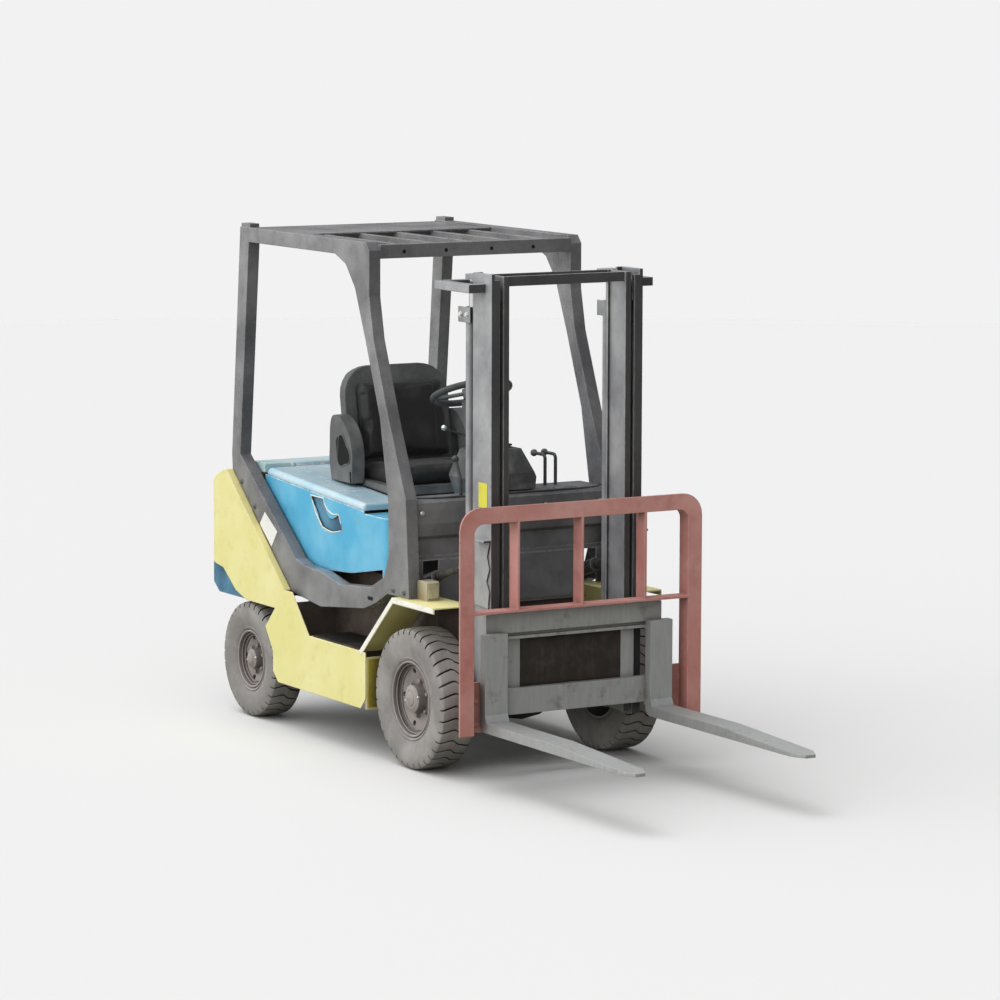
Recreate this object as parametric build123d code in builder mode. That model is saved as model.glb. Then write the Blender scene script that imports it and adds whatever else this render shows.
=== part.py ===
"""Counterbalance forklift truck, built as an assembly of separate pieces.

Frame: +Z is up, the forks point along -Y and +X is the truck's left side.
The origin lies on the floor, midway along the length and the width.
All sizes are in millimetres. Places along the truck are given behind the front axle.
"""

import os
from math import cos, hypot, pi, radians, sin

from build123d import *

# Overall sizes
WHEELBASE = 1410
FORK_LENGTH = 1072
SHANK_FRONT = -479
REAR_REACH = 1815
BODY_HALF_WIDTH = 535
GUARD_HEIGHT = 2107
MAST_HEIGHT = 2020
SHEET = 4
RUNNING_FIT = 0.05
SLIDE_GAP = 0.5
SAFE_GAP = 5
ARCH_STEPS = 6

FORK_REACH = FORK_LENGTH - SHANK_FRONT
FRONT_AXLE_Y = (FORK_REACH - REAR_REACH) / 2

# Wheels
FRONT_TYRE_R = 288
FRONT_TYRE_WIDTH = 164
FRONT_WHEEL_X = 438
FRONT_RIM_R = 155
REAR_TYRE_R = 250
REAR_TYRE_WIDTH = 150
REAR_WHEEL_X = 448
REAR_RIM_R = 125
SPINDLE_R = 34
HUB_R = 62

# Mast: two channels nested one in the other, and the carriage inside them
MAST_FRONT = -374
RAIL_DEPTH = 147
RAIL_FLANGE = 12
OUTER_RAIL_X = 350
OUTER_RAIL_WIDTH = 38
OUTER_WEB = 14
RAIL_NEST_GAP = 17
INNER_RAIL_WIDTH = 25
INNER_WEB = 9
OUTER_RAIL_BOTTOM = 215
INNER_RAIL_BOTTOM = 225
TIE_REACH = 77
TIE_BAR = 40
TIE_HEIGHT = 34
TIE_TOP = 1980
TRUNNION_R = 52
MAST_FOOT_WIDTH = 34

MAST_REAR = MAST_FRONT + RAIL_DEPTH
ROLLER_Y = (MAST_FRONT + MAST_REAR) / 2
ROLLER_R = RAIL_DEPTH / 2 - RAIL_FLANGE - SLIDE_GAP
INNER_RAIL_OUT = OUTER_RAIL_X - OUTER_RAIL_WIDTH - RAIL_NEST_GAP
INNER_RAIL_IN = INNER_RAIL_OUT - INNER_RAIL_WIDTH
INNER_WEB_OUT = INNER_RAIL_OUT - 6
INNER_WEB_IN = INNER_WEB_OUT - INNER_WEB

# Lift and tilt cylinders
LIFT_BARREL_R = 30
LIFT_ROD_R = 18
LIFT_X = 319
CROSS_PLATE = 12
CROSS_FRONT = MAST_REAR + 8
LIFT_Y = CROSS_FRONT + CROSS_PLATE + SLIDE_GAP * 2 + LIFT_BARREL_R
LIFT_BARREL_BOTTOM = 400
LIFT_BARREL_TOP = 1880
TILT_X = 374
TILT_BARREL_R = 28
TILT_ROD_R = 14
TILT_PIN_R = 12
TILT_EYE_GAP = 4.2
TILT_EYE_WIDTH = 22
TILT_MAST_PIN = (-195, 840)
TILT_BODY_PIN = (235, 705)

# Carriage, forks and load backrest
CARRIAGE_BOTTOM = 273
CARRIAGE_HEIGHT = 407
BAR_HEIGHT = 104
BAR_THICKNESS = 31
BAR_HALF_LENGTH = 409
FORK_X = 385
FORK_WIDTH = 104
FORK_THICKNESS = 40
FORK_TIP = 12
FORK_BOTTOM = 218
SHANK_TOP = 608
BACKREST_HALF_WIDTH = 562
BACKREST_TOP = 1118
BACKREST_FRONT = -498
BACKREST_ANGLE = 65
BACKREST_SHEET = 8
BACKREST_CROSSBAR = 698

SHANK_REAR = SHANK_FRONT + FORK_THICKNESS
BAR_FRONT = SHANK_REAR + SLIDE_GAP
BAR_REAR = BAR_FRONT + BAR_THICKNESS
CARRIAGE_TOP = CARRIAGE_BOTTOM + CARRIAGE_HEIGHT

# Overhead guard
GUARD_X = 503
GUARD_TUBE = 52
GUARD_IN = GUARD_X - GUARD_TUBE
HEADER_FRONT = 353
HEADER_DEPTH = 52
HEADER_HEIGHT = 56
ROOF_BAR = 22
ROOF_PLATE = 6
ROOF_SPLIT = 1010
PILLAR_FOOT_Z = 690

# Body
FRAME_X = 330
FRAME_PLATE = 12
FRAME_FRONT = 96
FRAME_TOP = 636
FLOOR_PLATE = 6
STEP_Z = 432
PANEL_BOTTOM = 195
HOOD_X = 440
HOOD_FRONT = 520
HOOD_REAR = 1388
COVER_FRONT = 300
HOOD_THICKNESS = 30
WEIGHT_FRONT = 1400
ARCH_TOP = 510

# Steer axle
KINGPIN_X = 340
KINGPIN_R = 14
EYE_R = 25
AXLE_EYE_HALF = 30
KNUCKLE_ARM = 16

# Steering wheel
WHEEL_RIM_R = 160
WHEEL_GRIP_R = 14
COLUMN_TILT = 22
WHEEL_PLACE = (396, 1470)

SIDE = Plane(origin=(0, FRONT_AXLE_Y, 0), x_dir=(0, 1, 0), z_dir=(1, 0, 0))
PLAN = Plane(origin=(0, FRONT_AXLE_Y, 0), x_dir=(1, 0, 0), z_dir=(0, 0, 1))
FRONT = Plane(origin=(0, FRONT_AXLE_Y, 0), x_dir=(1, 0, 0), z_dir=(0, -1, 0))


def arch_points(half, top, radius, bottom):
    """Front view outline of a plate with rounded upper corners, open at the bottom."""
    turns = [step * pi / 2 / ARCH_STEPS for step in range(ARCH_STEPS + 1)]
    left = [(-half + radius * (1 - cos(turn)), top - radius * (1 - sin(turn))) for turn in turns]
    right = [(-x, z) for x, z in reversed(left)]
    return [(-half, bottom), *left, *right, (half, bottom)]


def side_at(x):
    """Side view plane at x: its first axis runs back, its second up, and it faces left."""
    return SIDE.offset(x)


def plan_at(z):
    """Plan view plane at height z: its first axis runs left, its second back."""
    return PLAN.offset(z)


def front_at(y):
    """Front view plane y behind the front axle: first axis left, second up, facing forward."""
    return FRONT.offset(-y)


def add_outline(plane, points, amount, mode=Mode.ADD, radius=0):
    """Extrude a closed outline, with all its corners rounded if a radius is given."""
    with BuildSketch(plane) as outline:
        with BuildLine():
            Polyline(*points, close=True)
        make_face()
        if radius:
            fillet(outline.vertices(), radius)
    extrude(outline.sketch, amount=amount, mode=mode)


def add_block(x_range, y_range, z_range, mode=Mode.ADD):
    """Extrude a rectangular block between two values along each axis."""
    width = x_range[1] - x_range[0]
    depth = y_range[1] - y_range[0]
    with BuildSketch(plan_at(z_range[0])) as footprint:
        with Locations((x_range[0] + width / 2, y_range[0] + depth / 2)):
            Rectangle(width, depth)
    extrude(footprint.sketch, amount=z_range[1] - z_range[0], mode=mode)


def add_cross_cylinder(y, z, radius, x_range, mode=Mode.ADD):
    """Extrude a cylinder that runs across the truck."""
    with BuildSketch(side_at(x_range[0])) as circle:
        with Locations((y, z)):
            Circle(radius)
    extrude(circle.sketch, amount=x_range[1] - x_range[0], mode=mode)


def add_upright_cylinder(x, y, radius, z_range, mode=Mode.ADD):
    """Extrude an upright cylinder."""
    with BuildSketch(plan_at(z_range[0])) as circle:
        with Locations((x, y)):
            Circle(radius)
    extrude(circle.sketch, amount=z_range[1] - z_range[0], mode=mode)


def add_folded_sheet(points, thickness, x_range, mode=Mode.ADD):
    """Extrude a folded sheet across the truck: a side view line with a thickness."""
    with BuildSketch(side_at(x_range[0])) as fold:
        with BuildLine() as line:
            Polyline(*points)
            offset(amount=thickness, side=Side.LEFT)
        make_face()
    extrude(fold.sketch, amount=x_range[1] - x_range[0], mode=mode)


def save(part, name):
    """Label a finished piece and write it as one STEP file."""
    part.label = name
    export_step(part, f"parts/{name}.step")


os.makedirs("parts", exist_ok=True)

# Wheels: a solid tyre on a dished disc wheel with a bearing hub


def wheel_plane(x, y, radius):
    """Section plane of a wheel: its first axis runs outward along the axle, its second up."""
    return Plane(origin=(x, FRONT_AXLE_Y + y, radius), x_dir=(1, 0, 0), z_dir=(0, -1, 0))


def revolve_section(plane, points):
    """Turn a section about the axle line of a wheel plane."""
    with BuildSketch(plane) as section:
        with BuildLine():
            Polyline(*points, close=True)
        make_face()
    revolve(section.sketch, axis=Axis(plane.origin, plane.x_dir))


def make_tyre(plane, outer_r, rim_r, width):
    """Solid tyre with flat walls and a rounded tread shoulder."""
    half = width / 2
    bead = half - 14
    wall_start = rim_r + 26
    shoulder = outer_r - 14
    points = [
        (-bead, rim_r), (bead, rim_r), (half, wall_start), (half, shoulder),
        (half - 16, outer_r), (-half + 16, outer_r), (-half, shoulder), (-half, wall_start),
    ]
    with BuildPart() as tyre:
        revolve_section(plane, points)
    return tyre.part


def make_rim(plane, rim_r, width, hub_r, spindle_r, hub_in, cap_out):
    """Disc wheel: a barrel, a dished disc with hand holes, a bored hub and its cap."""
    bead = width / 2 - 14
    wall = 9
    barrel_in = rim_r - wall
    disc_in = 28
    disc_out = disc_in + 10
    dish = 14
    flat_r = hub_r + 18
    points = [
        (-bead, rim_r), (-bead, barrel_in), (disc_in, barrel_in), (disc_in - dish, flat_r), (hub_in, hub_r),
        (hub_in, spindle_r + RUNNING_FIT), (cap_out - 26, spindle_r + RUNNING_FIT), (cap_out - 26, 0),
        (cap_out, 0), (cap_out, hub_r - 22), (cap_out - 8, hub_r - 6), (cap_out - 34, hub_r - 4),
        (disc_out - dish, hub_r - 2), (disc_out - dish, flat_r), (disc_out, barrel_in), (bead, barrel_in),
        (bead, rim_r),
    ]
    hand_hole_r = 11
    hand_holes = 5
    with BuildPart() as rim:
        revolve_section(plane, points)
        with BuildSketch(Plane(origin=plane.origin, x_dir=(0, 1, 0), z_dir=plane.x_dir).offset(-bead)):
            with PolarLocations((flat_r + barrel_in) / 2, hand_holes):
                Circle(hand_hole_r)
        extrude(amount=2 * bead, mode=Mode.SUBTRACT)
    return rim.part


FRONT_WHEEL = wheel_plane(FRONT_WHEEL_X, 0, FRONT_TYRE_R)
REAR_WHEEL = wheel_plane(REAR_WHEEL_X, WHEELBASE, REAR_TYRE_R)
REAR_SPINDLE_R = 24
HUB_IN_FRONT = -52
HUB_IN_REAR = -40
CAP_OUT = 70
front_tyre = make_tyre(FRONT_WHEEL, FRONT_TYRE_R, FRONT_RIM_R, FRONT_TYRE_WIDTH)
front_rim = make_rim(FRONT_WHEEL, FRONT_RIM_R, FRONT_TYRE_WIDTH, HUB_R, SPINDLE_R, HUB_IN_FRONT, CAP_OUT)
rear_tyre = make_tyre(REAR_WHEEL, REAR_TYRE_R, REAR_RIM_R, REAR_TYRE_WIDTH)
rear_rim = make_rim(REAR_WHEEL, REAR_RIM_R, REAR_TYRE_WIDTH, HUB_R - 14, REAR_SPINDLE_R, HUB_IN_REAR,
    CAP_OUT - 6)
for wheel_name, piece in (
    ("front_tyre", front_tyre), ("front_rim", front_rim), ("rear_tyre", rear_tyre), ("rear_rim", rear_rim),
):
    save(piece, f"{wheel_name}_left")
    with BuildPart() as mirrored:
        mirror(piece, about=Plane.YZ)
    save(mirrored.part, f"{wheel_name}_right")

# Drive axle: housing with the gear case in the middle, trunnions for the mast feet, and spindles
CASE_R = 125
CASE_HALF = 105
TRUNNION_END = OUTER_RAIL_X - 2
SPINDLE_END = FRONT_WHEEL_X + CAP_OUT - 40
PAD_X = (170, 250)
PAD_HALF_HEIGHT = 55
AXLE_PLANE = wheel_plane(0, 0, FRONT_TYRE_R)
with BuildPart() as drive_axle:
    revolve_section(AXLE_PLANE, [
        (0, 0), (0, CASE_R), (CASE_HALF - 30, CASE_R - 12), (CASE_HALF, CASE_R - 50),
        (PAD_X[0] - 20, TRUNNION_R + 8),
        (PAD_X[1] + 10, TRUNNION_R + 8), (PAD_X[1] + 14, TRUNNION_R), (TRUNNION_END, TRUNNION_R),
        (TRUNNION_END, SPINDLE_R), (SPINDLE_END, SPINDLE_R), (SPINDLE_END, 0),
    ])
    add_block(PAD_X, (20, FRAME_FRONT), (FRONT_TYRE_R - PAD_HALF_HEIGHT, FRONT_TYRE_R + PAD_HALF_HEIGHT))
    mirror(about=Plane.YZ)
save(drive_axle.part, "drive_axle")

# Steer axle: beam with an eye at each end, swinging on a centre trunnion
BEAM_HALF_DEPTH = 38
BEAM_END = KINGPIN_X - 60
CENTRE_PIN_R = 26
CENTRE_PIN_HALF = 78
with BuildPart() as steer_axle:
    with BuildSketch(plan_at(REAR_TYRE_R - AXLE_EYE_HALF)):
        with BuildLine():
            Polyline(
                (0, WHEELBASE - BEAM_HALF_DEPTH), (BEAM_END - 20, WHEELBASE - BEAM_HALF_DEPTH),
                (BEAM_END, WHEELBASE - EYE_R), (KINGPIN_X, WHEELBASE - EYE_R),
            )
            RadiusArc((KINGPIN_X, WHEELBASE - EYE_R), (KINGPIN_X, WHEELBASE + EYE_R), -EYE_R)
            Polyline(
                (KINGPIN_X, WHEELBASE + EYE_R), (BEAM_END, WHEELBASE + EYE_R),
                (BEAM_END - 20, WHEELBASE + BEAM_HALF_DEPTH), (0, WHEELBASE + BEAM_HALF_DEPTH),
                (0, WHEELBASE - BEAM_HALF_DEPTH),
            )
        make_face()
    extrude(amount=2 * AXLE_EYE_HALF)
    add_upright_cylinder(
        KINGPIN_X, WHEELBASE, KINGPIN_R + RUNNING_FIT,
        (REAR_TYRE_R - AXLE_EYE_HALF, REAR_TYRE_R + AXLE_EYE_HALF), Mode.SUBTRACT,
    )
    mirror(about=Plane.YZ)
    with BuildSketch(front_at(WHEELBASE + CENTRE_PIN_HALF)):
        with Locations((0, REAR_TYRE_R)):
            Circle(CENTRE_PIN_R)
    extrude(amount=2 * CENTRE_PIN_HALF)
save(steer_axle.part, "steer_axle")

# Steering knuckles: a fork round the axle's eye, with kingpin, wheel spindle and steering arm
FORK_GAP = 2
KNUCKLE_BACK = KINGPIN_X + EYE_R + 4
KNUCKLE_OUT = KNUCKLE_BACK + 24
KNUCKLE_SPINDLE_END = REAR_WHEEL_X + CAP_OUT - 6 - 30
ARM_LENGTH = 110
arm_low = AXLE_EYE_HALF + FORK_GAP
arm_high = arm_low + KNUCKLE_ARM
with BuildPart() as knuckle_left:
    for low in (REAR_TYRE_R + arm_low, REAR_TYRE_R - arm_high):
        with BuildSketch(plan_at(low)):
            with Locations((KINGPIN_X, WHEELBASE)):
                Circle(EYE_R)
            with Locations(((KINGPIN_X + KNUCKLE_OUT) / 2, WHEELBASE)):
                Rectangle(KNUCKLE_OUT - KINGPIN_X, 2 * EYE_R)
        extrude(amount=KNUCKLE_ARM)
    add_block((KNUCKLE_BACK, KNUCKLE_OUT), (WHEELBASE - EYE_R, WHEELBASE + EYE_R),
              (REAR_TYRE_R - arm_high, REAR_TYRE_R + arm_high))
    add_upright_cylinder(KINGPIN_X, WHEELBASE, KINGPIN_R, (REAR_TYRE_R - arm_high, REAR_TYRE_R + arm_high))
    add_cross_cylinder(WHEELBASE, REAR_TYRE_R, REAR_SPINDLE_R, (KNUCKLE_OUT, KNUCKLE_SPINDLE_END))
    add_outline(plan_at(REAR_TYRE_R - arm_high), [
        (KINGPIN_X - 18, WHEELBASE), (KINGPIN_X + 18, WHEELBASE),
        (KINGPIN_X - 8, WHEELBASE - ARM_LENGTH), (KINGPIN_X - 36, WHEELBASE - ARM_LENGTH),
    ], KNUCKLE_ARM)
save(knuckle_left.part, "knuckle_left")
with BuildPart() as knuckle_right:
    mirror(knuckle_left.part, about=Plane.YZ)
save(knuckle_right.part, "knuckle_right")

# Main frame: side plates, cross members, engine bearers and the bracket of the steer axle
FRAME_REAR = 1090
FRAME_LOW = 230
SPINE_X = 62
CROSS = 12
RISER_Y = 960
RISER_TOP = 556
with BuildPart() as main_frame:
    add_outline(side_at(FRAME_X - FRAME_PLATE), [
        (FRAME_FRONT, FRAME_LOW), (FRAME_FRONT, FRAME_TOP), (FRAME_REAR, FRAME_TOP), (FRAME_REAR, 330),
        (FRAME_REAR - 90, FRAME_LOW),
    ], FRAME_PLATE)
    mirror(about=Plane.YZ)
    side_plate_in = FRAME_X - FRAME_PLATE
    add_block((-side_plate_in, side_plate_in), (FRAME_FRONT, FRAME_FRONT + CROSS), (FRAME_LOW, FRAME_TOP))
    case_clear = CASE_HALF + SAFE_GAP
    add_cross_cylinder(0, FRONT_TYRE_R, CASE_R + SAFE_GAP, (-case_clear, case_clear), Mode.SUBTRACT)
    add_block((-side_plate_in, side_plate_in), (FRAME_REAR - CROSS, FRAME_REAR), (330, FRAME_TOP))
    add_block((-side_plate_in, side_plate_in), (560, 620), (FRAME_LOW, FRAME_LOW + 60))
    for sign in (-1, 1):
        riser = sorted((sign * side_plate_in, sign * (BODY_HALF_WIDTH - SHEET)))
        add_block(riser, (RISER_Y, RISER_Y + SHEET), (FRAME_LOW + 70, RISER_TOP))
    for sign in (-1, 1):
        spine = sorted((sign * SPINE_X, sign * (SPINE_X + FRAME_PLATE)))
        add_outline(side_at(spine[0]), [
            (FRAME_REAR, 330), (FRAME_REAR, FRAME_TOP - 20), (WEIGHT_FRONT, FRAME_TOP - 20),
            (WEIGHT_FRONT, ARCH_TOP), (WEIGHT_FRONT + 330, ARCH_TOP),
            (WEIGHT_FRONT + 330, ARCH_TOP - 60), (WEIGHT_FRONT + 150, 330),
        ], FRAME_PLATE)
    for bracket_y in (WHEELBASE - CENTRE_PIN_HALF + 6, WHEELBASE + CENTRE_PIN_HALF - 26):
        add_block((-SPINE_X, SPINE_X), (bracket_y, bracket_y + 20), (REAR_TYRE_R - 45, 400))
        with BuildSketch(front_at(bracket_y + 20)):
            with Locations((0, REAR_TYRE_R)):
                Circle(CENTRE_PIN_R + RUNNING_FIT)
        extrude(amount=20, mode=Mode.SUBTRACT)
save(main_frame.part, "main_frame")

# Engine: one plain block at its real place
with BuildPart() as engine_block:
    add_block((-210, 210), (650, 1060), (FRAME_LOW + 60, 900))
    add_block((-side_plate_in, side_plate_in), (800, 860), (FRAME_LOW + 160, FRAME_LOW + 200))
save(engine_block.part, "engine_block")

# Front fenders and lower side panels, with the step cut into them
FENDER_FLAT_REAR = 105
FENDER_FRONT = -240
FENDER_SHEET = 6
LIP = 24
STEP_FRONT = 384
STEP_REAR = 824
FENDER_X = 356
PANEL_FRONT = 330
ARCH_LOW = 1105
FOOT_SLOPE_Y = 975
PANEL_CORNER = (1045, 598)
ARCH_KNEE = (1222, 419)
with BuildPart() as side_panel_left:
    fender_line = [(STEP_FRONT, STEP_Z), (FENDER_FLAT_REAR, PILLAR_FOOT_Z), (FENDER_FRONT, PILLAR_FOOT_Z)]
    with BuildSketch(side_at(FENDER_X)):
        with BuildLine():
            Polyline(*fender_line)
            offset(amount=FENDER_SHEET, side=Side.LEFT)
        make_face()
    extrude(amount=BODY_HALF_WIDTH - FENDER_X)
    with BuildSketch(side_at(BODY_HALF_WIDTH - SHEET)):
        with BuildLine():
            Polyline(*fender_line)
            offset(amount=LIP, side=Side.LEFT)
        make_face()
    extrude(amount=SHEET)
    add_outline(side_at(BODY_HALF_WIDTH - SHEET), [
        (PANEL_FRONT, 240), (PANEL_FRONT, STEP_Z), (STEP_REAR, STEP_Z), (FOOT_SLOPE_Y, 598), PANEL_CORNER,
        ARCH_KNEE, (1152, 322), (1152, 238), (ARCH_LOW, PANEL_BOTTOM), (PANEL_FRONT + 40, PANEL_BOTTOM),
    ], SHEET)
    add_block((FRAME_X, BODY_HALF_WIDTH - SHEET), (PANEL_FRONT + 60, STEP_REAR),
        (STEP_Z - FENDER_SHEET, STEP_Z))
    add_block((FRAME_X, BODY_HALF_WIDTH - SHEET), (PANEL_FRONT, PANEL_FRONT + SHEET),
        (PANEL_BOTTOM, STEP_Z - 20))
save(side_panel_left.part, "side_panel_left")
with BuildPart() as side_panel_right:
    mirror(side_panel_left.part, about=Plane.YZ)
save(side_panel_right.part, "side_panel_right")

# Overhead guard: two side frames bent from box section, header and rear cross tube
LEG_FOOT = (1043, 591)
LEG_KNEE = (1587, 1055)
HEADER_Z = GUARD_HEIGHT - 11
with BuildPart() as overhead_guard:
    with BuildSketch(side_at(GUARD_IN)) as side_frame:
        with BuildLine():
            Polyline(
                (1504, GUARD_HEIGHT), (1592, 1120), LEG_KNEE, LEG_FOOT, (780, 561), (617, 580), (400, 604),
                (300, 640), (200, PILLAR_FOOT_Z), (20, PILLAR_FOOT_Z), (48, 1091), (188, 1401), (316, 1715),
                (353, 1887), (353, 2074), (382, GUARD_HEIGHT), close=True,
            )
        make_face()
        with BuildLine():
            Polyline(
                (1425, 2045), (1514, 1125), (1000, 735), (930, 715), (779, 708), (617, 676), (348, 698),
                (230, 752), (190, 850), (192, 1067), (262, 1401), (384, 1710), (416, 1782), (473, 1915),
                (554, 2009), (646, 2045), close=True,
            )
        make_face(mode=Mode.SUBTRACT)
    extrude(amount=GUARD_TUBE)
    mirror(about=Plane.YZ)
    add_block((-GUARD_IN, GUARD_IN), (HEADER_FRONT, HEADER_FRONT + HEADER_DEPTH),
              (HEADER_Z - HEADER_HEIGHT, HEADER_Z))
    add_block((-GUARD_IN, GUARD_IN), (1430, 1480), (HEADER_Z - HEADER_HEIGHT, HEADER_Z))
    for sign in (-1, 1):
        cap = sorted((sign * (GUARD_IN + 4), sign * (GUARD_X - 4)))
        add_block(cap, (1420, 1500), (GUARD_HEIGHT, GUARD_HEIGHT + 16))
save(overhead_guard.part, "overhead_guard")

# Roof: bars over the front and a plate over the rear
ROOF_BARS = 5
with BuildPart() as guard_roof:
    add_block((-GUARD_IN, GUARD_IN), (ROOF_SPLIT, 1500), (HEADER_Z, HEADER_Z + ROOF_PLATE))
    with BuildSketch(plan_at(HEADER_Z - ROOF_BAR)):
        with Locations((0, (HEADER_FRONT + HEADER_DEPTH + ROOF_SPLIT + ROOF_BAR) / 2)):
            with GridLocations(175, 0, ROOF_BARS, 1):
                Rectangle(ROOF_BAR, ROOF_SPLIT + ROOF_BAR - HEADER_FRONT - HEADER_DEPTH)
    extrude(amount=ROOF_BAR)
save(guard_roof.part, "guard_roof")

# Floor plate with the lugs that hold the tilt cylinders
LUG_IN = TILT_X - TILT_EYE_WIDTH / 2 - 10
LUG_OUT = TILT_X + TILT_EYE_WIDTH / 2 + 10
FLOOR_TOP = FRAME_TOP + FLOOR_PLATE
LUG_R = 24
COWL_Y = 58
with BuildPart() as floor_plate:
    with BuildSketch(plan_at(FRAME_TOP)):
        with BuildLine():
            Polyline(
                (0, COWL_Y), (FENDER_X - SHEET, COWL_Y), (FENDER_X - SHEET, 182), (HOOD_X, 182),
                (HOOD_X, COVER_FRONT + 60), (0, COVER_FRONT + 60), close=True,
            )
        make_face()
    extrude(amount=FLOOR_PLATE)
    for lug_x in (LUG_IN, LUG_OUT - 8):
        add_cross_cylinder(*TILT_BODY_PIN, LUG_R, (lug_x, lug_x + 8))
        add_outline(side_at(lug_x), [
            (TILT_BODY_PIN[0] - LUG_R, TILT_BODY_PIN[1]), (TILT_BODY_PIN[0] + LUG_R, TILT_BODY_PIN[1]),
            (TILT_BODY_PIN[0] + LUG_R + 8, FLOOR_TOP), (TILT_BODY_PIN[0] - LUG_R - 8, FLOOR_TOP),
        ], 8)
    add_cross_cylinder(*TILT_BODY_PIN, TILT_PIN_R, (LUG_IN, LUG_OUT))
    mirror(about=Plane.YZ)
save(floor_plate.part, "floor_plate")

# Engine cover: the blue sides and the front under the seat lid
SEAM_FRONT = 988
SEAM_REAR = 1048
COVER_CORNER = 50
with BuildPart() as engine_cover:
    with BuildSketch(plan_at(FLOOR_TOP)) as shell:
        with BuildLine():
            front_line = FilletPolyline(
                (-HOOD_X, WEIGHT_FRONT), (-HOOD_X, COVER_FRONT), (HOOD_X, COVER_FRONT),
                (HOOD_X, WEIGHT_FRONT),
                radius=COVER_CORNER,
            )
            offset(front_line, amount=SHEET, side=Side.LEFT)
        make_face()
    extrude(amount=SEAM_REAR - FLOOR_TOP)
    add_outline(side_at(-BODY_HALF_WIDTH), [
        (COVER_FRONT - 20, 978), (HOOD_FRONT - 6, 978), (HOOD_FRONT - 6, SEAM_FRONT), (HOOD_REAR, SEAM_REAR),
        (WEIGHT_FRONT + 10, SEAM_REAR), (WEIGHT_FRONT + 10, 1300), (COVER_FRONT - 20, 1300),
    ], 2 * BODY_HALF_WIDTH, Mode.SUBTRACT)
    add_outline(side_at(-BODY_HALF_WIDTH), [
        (COVER_FRONT + COVER_CORNER + 4, FLOOR_TOP - 10), (COVER_FRONT + COVER_CORNER + 4, 764), (619, 718),
        (885, 700), (1056, 706), (WEIGHT_FRONT + 10, 706), (WEIGHT_FRONT + 10, FLOOR_TOP - 10),
    ], 2 * BODY_HALF_WIDTH, Mode.SUBTRACT)
    add_block((-HOOD_X + SHEET, HOOD_X - SHEET), (COVER_FRONT + SHEET, HOOD_FRONT - 6), (974, 978))
    for sign in (-1, 1):
        wall = sorted((sign * HOOD_X, sign * (HOOD_X - SHEET)))
        with BuildSketch(side_at(wall[0])):
            with BuildLine():
                Spline((985, 1004), (950, 960), (880, 880), (790, 868), tangents=((-0.3, -1), (-1, 0.1)))
                Polyline((790, 868), (700, 885), (735, 950))
                Spline((735, 950), (820, 928), (870, 1000), tangents=((1, -0.6), (0.5, 1)))
                Line((870, 1000), (985, 1004))
            make_face()
        extrude(amount=SHEET, mode=Mode.SUBTRACT)
save(engine_cover.part, "engine_cover")

# Hood: the lid under the seat, hinged at its rear edge
HINGE_Y = 1393
HINGE_Z = 1085
HINGE_TUBE_R = 9
HINGE_PIN_R = 5
HINGE_HALF = 300
LID_GAP = 1
LID_SIDE_R = 22
LID_END_R = 12
lid_slope = (SEAM_REAR - SEAM_FRONT) / (HOOD_REAR - HOOD_FRONT)
with BuildPart() as hood:
    add_outline(side_at(-HOOD_X), [
        (HOOD_FRONT, SEAM_FRONT + LID_GAP), (HOOD_REAR, SEAM_REAR + LID_GAP),
        (HOOD_REAR, SEAM_REAR + HOOD_THICKNESS), (HOOD_FRONT, SEAM_FRONT + HOOD_THICKNESS),
    ], 2 * HOOD_X)
    sides = (hood.edges().group_by(Axis.X)[0], hood.edges().group_by(Axis.X)[-1])
    fillet([side.sort_by(SortBy.LENGTH)[-2:].sort_by(Axis.Z)[-1] for side in sides], LID_SIDE_R)
    fillet(hood.edges().filter_by(Axis.X).sort_by(Axis.Z)[1::2], LID_END_R)
    add_block((-HOOD_X + 40, HOOD_X - 40), (HOOD_FRONT + 40, HOOD_REAR - 60),
        (900, SEAM_FRONT + 8), Mode.SUBTRACT)
    add_cross_cylinder(HINGE_Y, HINGE_Z, HINGE_TUBE_R, (-HINGE_HALF, HINGE_HALF))
    add_block((-HINGE_HALF, HINGE_HALF), (HOOD_REAR - 8, HINGE_Y), (HINGE_Z - HINGE_TUBE_R, HINGE_Z - 2))
    add_cross_cylinder(HINGE_Y, HINGE_Z, HINGE_PIN_R + RUNNING_FIT, (-HINGE_HALF, HINGE_HALF), Mode.SUBTRACT)
save(hood.part, "hood")

# Seat: moulded shell with hip restraints, cushion and back
SEAT_HALF = 250
SHOULDER_R = 125
BOLSTER = 60
BOLSTER_LOW = 1057
SEAT_FRONT = 600
SEAT_REAR = 1010
SEAT_BASE_Z = 1040
CUSHION_TOP = 1130
BACK_TOP = 1550
SEAT_GAP = 0.3


def lid_top(y):
    """Height of the lid's upper face at a place behind the front axle."""
    return SEAM_FRONT + HOOD_THICKNESS + (y - HOOD_FRONT) * lid_slope


def cut_shoulders(half, top):
    """Keep only what lies inside a front view outline with rounded shoulders."""
    outline = arch_points(half, top, SHOULDER_R, SEAT_BASE_Z - HOOD_THICKNESS)
    add_outline(front_at(SEAT_REAR + SHOULDER_R), outline, SEAT_REAR + SHOULDER_R, Mode.INTERSECT)


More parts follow.
